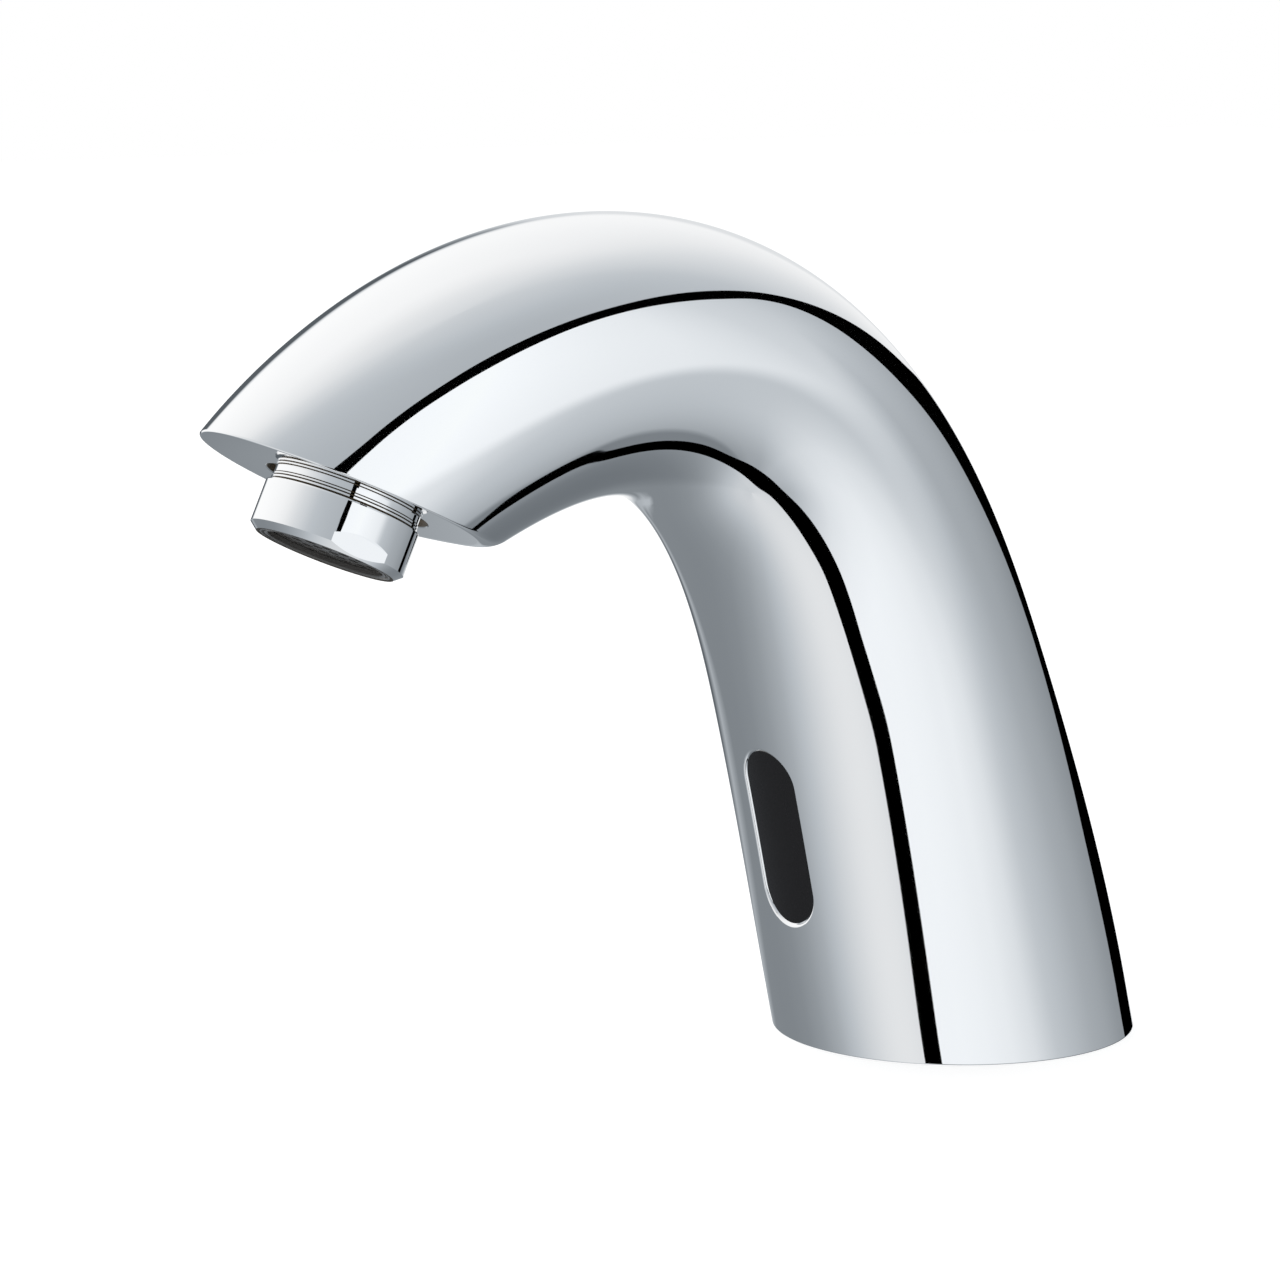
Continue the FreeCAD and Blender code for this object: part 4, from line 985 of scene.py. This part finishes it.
@dataclass
class Aerator(SubAssembly):
    """The aerator: a turned housing with two spanner flats, and the jet former's dark face."""

    nodes: tuple[str, ...] = ("aerator_washer", "aerator_housing", "aerator_insert",
                              "aerator_screen_1", "aerator_screen_2", "aerator_grille")
    mirrored: tuple[str, ...] = ("aerator_washer", "aerator_housing", "aerator_grille")
    radius: float = 12.0 * MM
    neck_radius: float = 11.3 * MM
    thread_radius: float = 11.0 * MM
    insert_room: float = 10.3 * MM
    face_radius: float = 10.25 * MM
    face_bore: float = 9.05 * MM
    top: float = -1.0 * MM
    shoulder: float = 1.7 * MM
    proud: float = 9.4 * MM
    chamfer: float = 1.2 * MM
    chamfer_height: float = 1.0 * MM
    insert_top: float = 5.0 * MM
    insert_end: float = 8.45 * MM
    flat: float = 11.1 * MM
    flat_height: float = 3.3 * MM
    flat_turn: float = math.radians(10)
    flat_arc: float = 11.5 * MM
    flat_points: int = 33
    edge: float = 0.3 * MM
    lip: float = 0.1 * MM
    groove_margin: float = 0.05 * MM
    overhang: float = 1.0 * MM
    columns: int = 192

    def place(self, across: np.ndarray, beside: np.ndarray, along: np.ndarray) -> np.ndarray:
        """Points given in the aerator's own axes.

        Args:
            across: Distances across the flats.
            beside: Distances along the flats' width.
            along: Distances below the outlet face, along the stream.

        Returns:
            One point for each.
        """
        first = np.array([1.0, 0.0, 0.0])
        second = np.cross(FORM.stream, first)
        turn = self.flat_turn
        flat_out = first * math.cos(turn) + second * math.sin(turn)
        flat_side = second * math.cos(turn) - first * math.sin(turn)
        return (FORM.outlet + across[:, None] * flat_out + beside[:, None] * flat_side
                + along[:, None] * FORM.stream)

    def turned(self, name: str, profile: list[tuple[float, float]]) -> bpy.types.Mesh:
        """A closed body turned round the stream.

        Args:
            name: The mesh's name.
            profile: Radii and heights below the outlet face, round the section.

        Returns:
            The mesh.
        """
        angle = np.linspace(0, TURN, self.columns, endpoint=False)
        rows = []
        for radius, along in profile:
            rows.append(self.place(np.cos(angle) * radius, np.sin(angle) * radius,
                                   np.full(self.columns, along)))
        return ring_mesh(name, rows)

    def neck(self) -> list[tuple[float, float]]:
        """The grooved neck between the outlet face and the housing's shoulder.

        Returns:
            Its part of the profile, from the top down.
        """
        radius = self.neck_radius
        steps = ((0.0, 0.5), (-0.15, 0.5), (-0.15, 0.68), (0.12, 0.68), (0.12, 0.92),
                 (-0.15, 0.92), (-0.15, 1.14), (0.15, 1.14), (0.15, 1.42), (-0.1, 1.42),
                 (-0.1, 1.56))
        return [(radius, self.top)] + [(radius + out * MM, along * MM) for out, along in steps]

    def flat_cutter(self, way: int) -> bpy.types.Object:
        """The cutter of one spanner flat, with an arched upper end.

        Args:
            way: Which side it cuts, 1 or -1.

        Returns:
            The cutting body.
        """
        beside = np.linspace(-1, 1, self.flat_points) * self.radius * 0.5
        arch = self.proud - self.flat_height + beside ** 2 / (2 * self.flat_arc)
        outline_beside = np.concatenate([beside, [beside[-1], beside[0]]])
        low = self.proud + self.overhang
        outline_along = np.concatenate([arch, [low, low]])
        rows = []
        for across in (self.flat, self.radius + self.overhang):
            rows.append(self.place(np.full(len(outline_along), across * way), outline_beside,
                                   outline_along))
        return closed_prism("flat_cutter", rows)

    def housing(self) -> bpy.types.Object:
        """The plated housing, with its neck's grooves painted dark as shade.

        Returns:
            The piece.
        """
        edge = self.edge
        profile = self.neck() + [
            (self.radius - edge, self.shoulder), (self.radius - edge / 3, self.shoulder + edge / 3),
            (self.radius, self.shoulder + edge),
            (self.radius, self.proud - self.chamfer_height),
            (self.radius - self.chamfer, self.proud),
            (self.insert_room + self.lip, self.proud), (self.insert_room, self.proud - self.lip),
            (self.insert_room, self.insert_top), (self.thread_radius, self.insert_top),
            (self.thread_radius, self.top)]
        mesh = self.turned("aerator_shell", profile)
        mesh.materials.append(PLATING.material())
        mesh.materials.append(RAW_CASTING_AND_PAINTED_SHADE.material())
        radii = [radius for radius, _ in profile]
        # Faces under the neck's outer radius, down in the grooves, take the dark finish as painted
        # shade.
        groove_shade_limit = self.neck_radius - self.groove_margin
        painted_groove_shade = [int(max(radii[i], radii[(i + 1) % len(radii)]) < groove_shade_limit)
                   for i in range(len(radii))]
        mesh.polygons.foreach_set("material_index", np.repeat(painted_groove_shade, self.columns).tolist())
        shaped = carved(mesh, [self.flat_cutter(way) for way in (-1, 1)])
        shaped.shade_smooth()
        shaped.set_sharp_from_angle(angle=SHARP_EDGE)
        return new_piece("aerator_shell", shaped, Body.AERATOR, PLATING, ("aerator_housing",))

    def face(self) -> bpy.types.Object:
        """The jet former's ridged lower face inside the housing's end.

        Returns:
            The piece.
        """
        ridges = ((1.0, 0.06), (0.72, 0.06), (0.66, 0.3), (0.44, 0.3), (0.38, 0.12), (0.12, 0.12),
                  (0.0, 0.26))
        span = self.face_radius - self.face_bore
        profile = [(self.face_bore + span * share, self.proud - depth * MM)
                   for share, depth in ridges]
        profile += [(self.face_bore, self.insert_end), (self.face_radius, self.insert_end)]
        mesh = self.turned("aerator_face", profile)
        mesh.shade_smooth()
        mesh.set_sharp_from_angle(angle=SHARP_EDGE)
        return new_piece("aerator_face", mesh, Body.AERATOR, JET_PLASTIC)

    def build(self) -> None:
        """Builds and dresses the aerator's own pieces."""
        self.housing()
        self.face()


# ---------------------------------------------------------------- studio

def direction(azimuth: np.ndarray, elevation: np.ndarray) -> np.ndarray:
    """Unit vectors; azimuth 0 is towards -Y and a quarter turn towards +X."""
    level = np.cos(elevation)
    return np.stack([np.sin(azimuth) * level, -np.cos(azimuth) * level, np.sin(elevation)], -1)


def linear(tone: np.ndarray) -> np.ndarray:
    """Light of a display tone from 0 to 1."""
    tone = np.clip(tone, 0.0, 1.0)
    return np.where(tone <= 0.04045, tone / 12.92, ((tone + 0.055) / 1.055) ** 2.4)


@dataclass(frozen=True)
class Curve:
    """Values along a run, straight from one knot to the next."""

    knots: tuple[float, ...]
    values: tuple[float, ...]

    def at(self, places: np.ndarray) -> np.ndarray:
        """The curve's values at the given places."""
        return np.interp(places, self.knots, self.values)


@dataclass(frozen=True)
class SoftPatch:
    """A patch of the tent, in degrees: each side's place, and how far in it fades."""

    left: tuple[float, float] = (-math.inf, 1.0)
    right: tuple[float, float] = (math.inf, 1.0)
    low: tuple[float, float] = (-math.inf, 1.0)
    high: tuple[float, float] = (math.inf, 1.0)

    def share(self, az: np.ndarray, el: np.ndarray) -> np.ndarray:
        """How much of the patch each direction has.

        Args:
            az: Azimuths in degrees.
            el: Elevations in degrees.

        Returns:
            Shares from 0 to 1.
        """
        left = np.clip((az - self.left[0]) / self.left[1], 0, 1)
        right = np.clip((self.right[0] - az) / self.right[1], 0, 1)
        low = np.clip((el - self.low[0]) / self.low[1], 0, 1)
        high = np.clip((self.high[0] - el) / self.high[1], 0, 1)
        return left * right * low * high


def seen_directly(tree: bpy.types.NodeTree) -> bpy.types.NodeSocket:
    """One where the ray comes from the eye, a mirror or glass.

    Args:
        tree: The material's or the world's node tree.

    Returns:
        The socket that says so.
    """
    nodes, links = tree.nodes, tree.links
    path = nodes.new("ShaderNodeLightPath")
    first = nodes.new("ShaderNodeMath")
    first.operation = "MAXIMUM"
    second = nodes.new("ShaderNodeMath")
    second.operation = "MAXIMUM"
    links.new(path.outputs["Is Camera Ray"], first.inputs[0])
    links.new(path.outputs["Is Glossy Ray"], first.inputs[1])
    links.new(first.outputs[0], second.inputs[0])
    links.new(path.outputs["Is Transmission Ray"], second.inputs[1])
    return second.outputs[0]


@dataclass(frozen=True)
class Studio:
    """A white product studio: camera, light, floor, and the panels that the plating mirrors."""

    camera_azimuth: float = math.radians(53.049)
    camera_elevation: float = math.radians(8.705)
    camera_place: tuple[float, float, float] = (0.53985, -0.47132, 0.17385)
    lens: float = 123.38
    sensor: float = 36.0
    tent_radius: float = 5.0
    panel_radius: float = 4.6
    edge_radius: float = 4.5
    plating_share: float = 0.95
    soft_light: float = 0.8
    lamp_place: tuple[float, float, float] = (-0.5, -0.6, 1.7)
    lamp_size: tuple[float, float] = (1.6, 1.2)
    lamp_energy: float = 16.0
    floor_size: float = 3.0
    floor_grey: float = 0.5
    floor_glow: float = 0.64
    top_tone: float = 252.0
    cool_shift: tuple[float, float, float] = (-5.5, 0.0, 5.0)
    cool_tones: Curve = Curve((0, 60, 190, 235, 252), (0.0, 1.0, 1.0, 0.15, 0.0))
    # The tent's tones, by the cosine of the turn from one azimuth, above and below its waist;
    # towards the zenith and the nadir they fade into one tone.
    above_azimuth: float = math.radians(275)
    above_tones: Curve = Curve((-1, -0.8, -0.57, -0.34, -0.1, 0.17, 0.42, 0.64, 1),
                               (180, 185, 190, 196, 208, 219, 231, 238, 245))
    zenith_tone: float = 211.0
    above_fade: Curve = Curve((30, 61, 69, 77, 85, 90), (1.2, 1.0, 0.8, 0.5, 0.28, 0.1))
    below_azimuth: float = math.radians(20)
    below_tones: Curve = Curve((-1, -0.95, -0.88, -0.3, -0.09, 0.17, 0.42, 0.64, 0.82, 0.94, 1),
                               (114, 118, 134, 132, 133, 138, 151, 170, 196, 216, 228))
    nadir_tone: float = 217.0
    below_fade: Curve = Curve((-83, -75, -67, -59, -51, -43, -35),
                              (0.12, 0.31, 0.56, 0.77, 0.9, 0.97, 1.0))
    waist: SoftPatch = SoftPatch(low=(-17, 6))
    table_tone: float = 182.0
    table_place: tuple[float, float] = (238.5, -21.5)
    table_radius: float = 5.5
    table_fade: float = 2.0
    hem_tone: float = 222.0
    hem: SoftPatch = SoftPatch((219, 4), (239, 4), (-8, 6), (19, 5))
    wing_tone: float = 92.0
    wing: SoftPatch = SoftPatch((236, 6), (262, 4), (-15, 3), (19, 4))
    # The side panel's tones by azimuth, over and under a fold, and their drop lower down.
    upper_tones: Curve = Curve((70, 90, 105, 120, 135, 150, 165, 180, 200),
                               (247, 251, 242, 233, 212, 203, 190, 177, 160))
    lower_tones: Curve = Curve((60, 75, 90, 105, 120, 135, 150, 165, 180, 200),
                               (244, 241, 235, 222, 197, 184, 170, 162, 150, 140))
    fold_height: Curve = Curve((90, 105, 120, 135, 150, 165, 180), (-16, -12, -7, 1, 17, 15, 11))
    fold_width: Curve = Curve((90, 120, 135, 150, 165), (12, 12, 14, 30, 36))
    low_drop: Curve = Curve((-75, -67, -59, -51, -43, -35), (75, 60, 37, 17, 6, 0))
    drop_share: Curve = Curve((75, 105, 135), (1.0, 0.62, 0.35))
    corner_tone: float = 128.0
    corner: SoftPatch = SoftPatch(left=(148, 6), high=(-41.6, 1.4))
    panel_middle: tuple[float, float] = (118.0, -12.0)
    panel_cool_white: float = 0.55
    # The black edge round the side panel, in degrees: azimuth and elevation of its outer side,
    # then of its inner side.
    panel_edge: tuple[tuple[float, float, float, float], ...] = (
        (60, 9, 69, 7), (64.5, 20, 70.2, 16), (67.6, 28.5, 72, 24), (70, 35, 74, 29.5),
        (73.5, 40.5, 77, 34.2), (78.5, 44.8, 81, 37.8), (86, 49, 87, 41.4), (98, 52, 97, 45),
        (112, 53, 110, 47.2), (127, 52.2, 123, 47), (142, 50.2, 135.5, 45.4),
        (155, 46.8, 148, 43), (167, 42.2, 159, 40.6), (177, 36.6, 168, 36.2),
        (188, 29, 175.5, 29.4), (199, 20, 180.6, 22.2), (210, 10, 184.6, 17),
        (219, 3, 190.5, 11), (222, -2, 194.4, 5.5), (223, -5, 200.2, 0.5),
        (223, -7, 201.4, -2), (222, -9, 195.5, -3.4), (219, -12, 190.6, -4.8),
        (212, -14.5, 189.4, -8), (199, -15, 189.2, -11), (194, -25, 184.5, -23),
        (182, -38, 168, -37), (169, -44, 155.5, -42.4), (176.5, -46.6, 163.4, -45.8),
        (178.5, -51.5, 164.6, -50.3), (179.5, -61, 163.5, -59), (177, -70, 158, -68),
        (160, -80, 128, -74), (100, -84.5, 97, -74.2), (60, -79.5, 74, -71),
        (41, -70.5, 59.5, -63), (34.2, -60, 51.6, -54.5), (32.4, -51, 46.9, -46.6),
        (30.4, -43.3, 43.6, -40.4), (30.3, -38.2, 42.2, -36.4), (31, -35, 42.6, -33.3),
        (32.2, -32.7, 43.5, -31.4), (33.6, -31.2, 44.8, -29.9), (35.5, -29.5, 46.5, -28),
        (42, -22, 52, -21), (50, -8, 58, -10))

    def camera(self) -> None:
        """Sets the camera up at the photograph's angle."""
        data = bpy.data.cameras.new("camera")
        data.lens, data.sensor_width = self.lens, self.sensor
        data.clip_end = 50.0
        eye = bpy.data.objects.new("camera", data)
        eye.location = self.camera_place
        eye.rotation_euler = Euler((math.pi / 2 - self.camera_elevation, 0.0, self.camera_azimuth))
        bpy.context.scene.collection.objects.link(eye)
        bpy.context.scene.camera = eye

    def world(self) -> None:
        """White to the eye, in mirrors and through glass; plain soft light for the rest."""
        world = bpy.data.worlds.new("studio")
        bpy.context.scene.world = world
        world.use_nodes = True
        nodes, links = world.node_tree.nodes, world.node_tree.links
        background = nodes["Background"]
        background.inputs["Color"].default_value = (1.0, 1.0, 1.0, 1.0)
        strength = nodes.new("ShaderNodeMix")
        strength.inputs["A"].default_value = self.soft_light
        strength.inputs["B"].default_value = 1.0
        links.new(seen_directly(world.node_tree), strength.inputs["Factor"])
        links.new(strength.outputs["Result"], background.inputs["Strength"])

    def lamp(self) -> None:
        """One large soft lamp above the left shoulder, for the floor's shadow."""
        data = bpy.data.lights.new("soft_lamp", "AREA")
        data.shape = "RECTANGLE"
        data.size, data.size_y = self.lamp_size
        data.energy = self.lamp_energy
        lamp = bpy.data.objects.new("soft_lamp", data)
        lamp.location = self.lamp_place
        lamp.rotation_euler = (-lamp.location).to_track_quat("-Z", "Y").to_euler()
        lamp.visible_glossy = False
        bpy.context.scene.collection.objects.link(lamp)

    def floor(self) -> None:
        """The pale floor: white to the eye, apart from the object's soft shadow."""
        mesh = bpy.data.meshes.new("floor")
        build = bmesh.new()
        bmesh.ops.create_grid(build, x_segments=8, y_segments=8, size=self.floor_size)
        build.to_mesh(mesh)
        build.free()
        material = bpy.data.materials.new("pale_floor")
        material.use_nodes = True
        nodes, links = material.node_tree.nodes, material.node_tree.links
        shader = nodes["Principled BSDF"]
        shader.inputs["Base Color"].default_value = (*[self.floor_grey] * 3, 1.0)
        shader.inputs["Roughness"].default_value = 0.9
        shader.inputs["Specular IOR Level"].default_value = 0.0
        shader.inputs["Emission Color"].default_value = (1.0, 1.0, 1.0, 1.0)
        glow = nodes.new("ShaderNodeMath")
        glow.operation = "MULTIPLY"
        glow.inputs[1].default_value = self.floor_glow
        links.new(seen_directly(material.node_tree), glow.inputs[0])
        links.new(glow.outputs[0], shader.inputs["Emission Strength"])
        mesh.materials.append(material)
        floor = bpy.data.objects.new("floor", mesh)
        bpy.context.scene.collection.objects.link(floor)
        floor.visible_glossy = False

    def tent_tone(self, azimuth: np.ndarray, elevation: np.ndarray) -> np.ndarray:
        """Tones of the tent: white behind, greyer in front, mid grey low on the left.

        Args:
            azimuth: Azimuths in radians.
            elevation: Elevations in radians.

        Returns:
            A display tone from 0 to 255 for each direction.
        """
        az, el = np.degrees(azimuth) % 360, np.degrees(elevation)
        above = self.above_tones.at(np.cos(azimuth - self.above_azimuth))
        above = self.zenith_tone + (above - self.zenith_tone) * self.above_fade.at(el)
        below = self.below_tones.at(np.cos(azimuth - self.below_azimuth))
        below = self.nadir_tone + (below - self.nadir_tone) * self.below_fade.at(el)
        tone = below + (above - below) * self.waist.share(az, el)
        table_az, table_el = self.table_place
        away = np.hypot((az - table_az) * np.cos(elevation), el - table_el)
        table = np.clip((self.table_radius - away) / self.table_fade, 0, 1)
        tone = tone + (self.table_tone - tone) * table
        tone = tone + (self.hem_tone - tone) * self.hem.share(az, el)
        return tone + (self.wing_tone - tone) * self.wing.share(az, el)

    def panel_tone(self, azimuth: np.ndarray, elevation: np.ndarray) -> np.ndarray:
        """Tones of the side panel: white in front, greyer towards the back and lower down.

        Args:
            azimuth: Azimuths in radians.
            elevation: Elevations in radians.

        Returns:
            A display tone from 0 to 255 for each direction.
        """
        az, el = np.degrees(azimuth) % 360, np.degrees(elevation)
        share = np.clip((el - self.fold_height.at(az)) / self.fold_width.at(az) + 0.5, 0, 1)
        share = share * share * (3 - 2 * share)
        upper, lower = self.upper_tones.at(az), self.lower_tones.at(az)
        drop = self.low_drop.at(el) * self.drop_share.at(az)
        tone = lower + (upper - lower) * share - drop
        return tone + (self.corner_tone - tone) * self.corner.share(az, el)

    def card(self, name: str, points: np.ndarray, faces: list[tuple[int, ...]],
             tones: np.ndarray, cool_white: float = 0.0) -> None:
        """A glowing sheet that only mirrors see.

        Args:
            name: Its name.
            points: Its vertices.
            faces: Its faces.
            tones: A display tone from 0 to 255 for each vertex.
            cool_white: How much of the cool tint the lightest tones keep.
        """
        mesh = bpy.data.meshes.new(name)
        mesh.from_pydata(points.tolist(), [], faces)
        cool = self.cool_tones.at(tones)
        cool = cool + (1 - cool) * cool_white * (tones > 0)
        shades = tones[:, None] + np.outer(cool, self.cool_shift)
        colour = np.ones((len(points), 4))
        colour[:, :3] = linear(np.clip(shades, 0, self.top_tone) / 255) / self.plating_share
        paint = mesh.color_attributes.new("light", "FLOAT_COLOR", "POINT")
        paint.data.foreach_set("color", colour.ravel())
        material = bpy.data.materials.new(name)
        material.use_nodes = True
        nodes, links = material.node_tree.nodes, material.node_tree.links
        nodes.clear()
        attribute = nodes.new("ShaderNodeVertexColor")
        attribute.layer_name = "light"
        glow = nodes.new("ShaderNodeEmission")
        out = nodes.new("ShaderNodeOutputMaterial")
        links.new(attribute.outputs["Color"], glow.inputs["Color"])
        links.new(glow.outputs["Emission"], out.inputs["Surface"])
        mesh.materials.append(material)
        sheet = bpy.data.objects.new(name, mesh)
        bpy.context.scene.collection.objects.link(sheet)
        sheet.visible_camera = False
        sheet.visible_diffuse = False
        sheet.visible_shadow = False
        sheet.visible_volume_scatter = False

    def tent(self, columns: int = 120, rows: int = 60) -> None:
        """The tent round everything.

        Args:
            columns: Points round each of its level rings.
            rows: Steps from the nadir to the zenith.
        """
        azimuth, elevation = np.meshgrid(np.linspace(0, TURN, columns, endpoint=False),
                                         np.linspace(-math.pi / 2, math.pi / 2, rows + 1))
        azimuth, elevation = azimuth.ravel(), elevation.ravel()
        self.card("tent", direction(azimuth, elevation) * self.tent_radius,
                  ring_faces(columns, rows + 1), self.tent_tone(azimuth, elevation))

    def edge_loop(self, first: int, steps: int = 8) -> np.ndarray:
        """One side of the panel's black edge as a smooth closed loop.

        Args:
            first: Which number of each knot is the side's azimuth.
            steps: Points from one knot to the next.

        Returns:
            Unit vectors along the loop.
        """
        knots = np.radians(np.array(self.panel_edge))
        spots = direction(knots[:, first], knots[:, first + 1])
        shares = np.arange(steps)[:, None] / steps
        before, after, next_but_one = (np.roll(spots, k, 0)[:, None] for k in (1, -1, -2))
        here = spots[:, None]
        loop = (2 * here + (after - before) * shares
                + (2 * before - 5 * here + 4 * after - next_but_one) * shares ** 2
                + (3 * here - before - 3 * after + next_but_one) * shares ** 3)
        loop = loop.reshape(-1, 3)
        return loop / np.linalg.norm(loop, axis=1, keepdims=True)

    def side_panel(self, rings: int = 40) -> None:
        """The side panel and the black edge round it.

        Args:
            rings: Steps from the panel's middle to its edge.
        """
        outer, inner = self.edge_loop(0), self.edge_loop(2)
        line = outer + inner
        line = line / np.linalg.norm(line, axis=1, keepdims=True)
        middle = direction(*np.radians(self.panel_middle))
        count = len(line)
        total = np.arccos(np.clip(line @ middle, -1, 1))[:, None]
        points = [middle[None]]
        for i in range(1, rings + 1):
            share = i / rings
            points.append((middle * np.sin((1 - share) * total) + line * np.sin(share * total))
                          / np.sin(total))
        points = np.concatenate(points)
        faces = [(0, 1 + j, 1 + (j + 1) % count) for j in range(count)]
        faces += ring_faces(count, rings, start=1)
        azimuth = np.arctan2(points[:, 0], -points[:, 1]) % TURN
        tones = self.panel_tone(azimuth, np.arcsin(np.clip(points[:, 2], -1, 1)))
        self.card("side_panel", points * self.panel_radius, faces, tones,
                  self.panel_cool_white)
        band = np.concatenate([inner, outer]) * self.edge_radius
        self.card("panel_edge", band, ring_faces(count, 2), np.zeros(len(band)))

    def build(self) -> None:
        """Sets the whole studio up."""
        self.camera()
        self.world()
        self.lamp()
        self.floor()
        self.tent()
        self.side_panel()
        log.info("studio: camera, world, lamp, floor and panels")


def main() -> None:
    """Builds the tap's pieces and the studio in order."""
    logging.basicConfig(level=logging.INFO, format="%(message)s")
    bpy.context.scene.view_settings.view_transform = "Standard"
    parts = (CastBody(), FootFittings(), WaterPath(), SensorEye(), Aerator())
    for part in parts:
        part.dress()
        part.build()
    Studio().build()


if __name__ == "__main__":
    main()
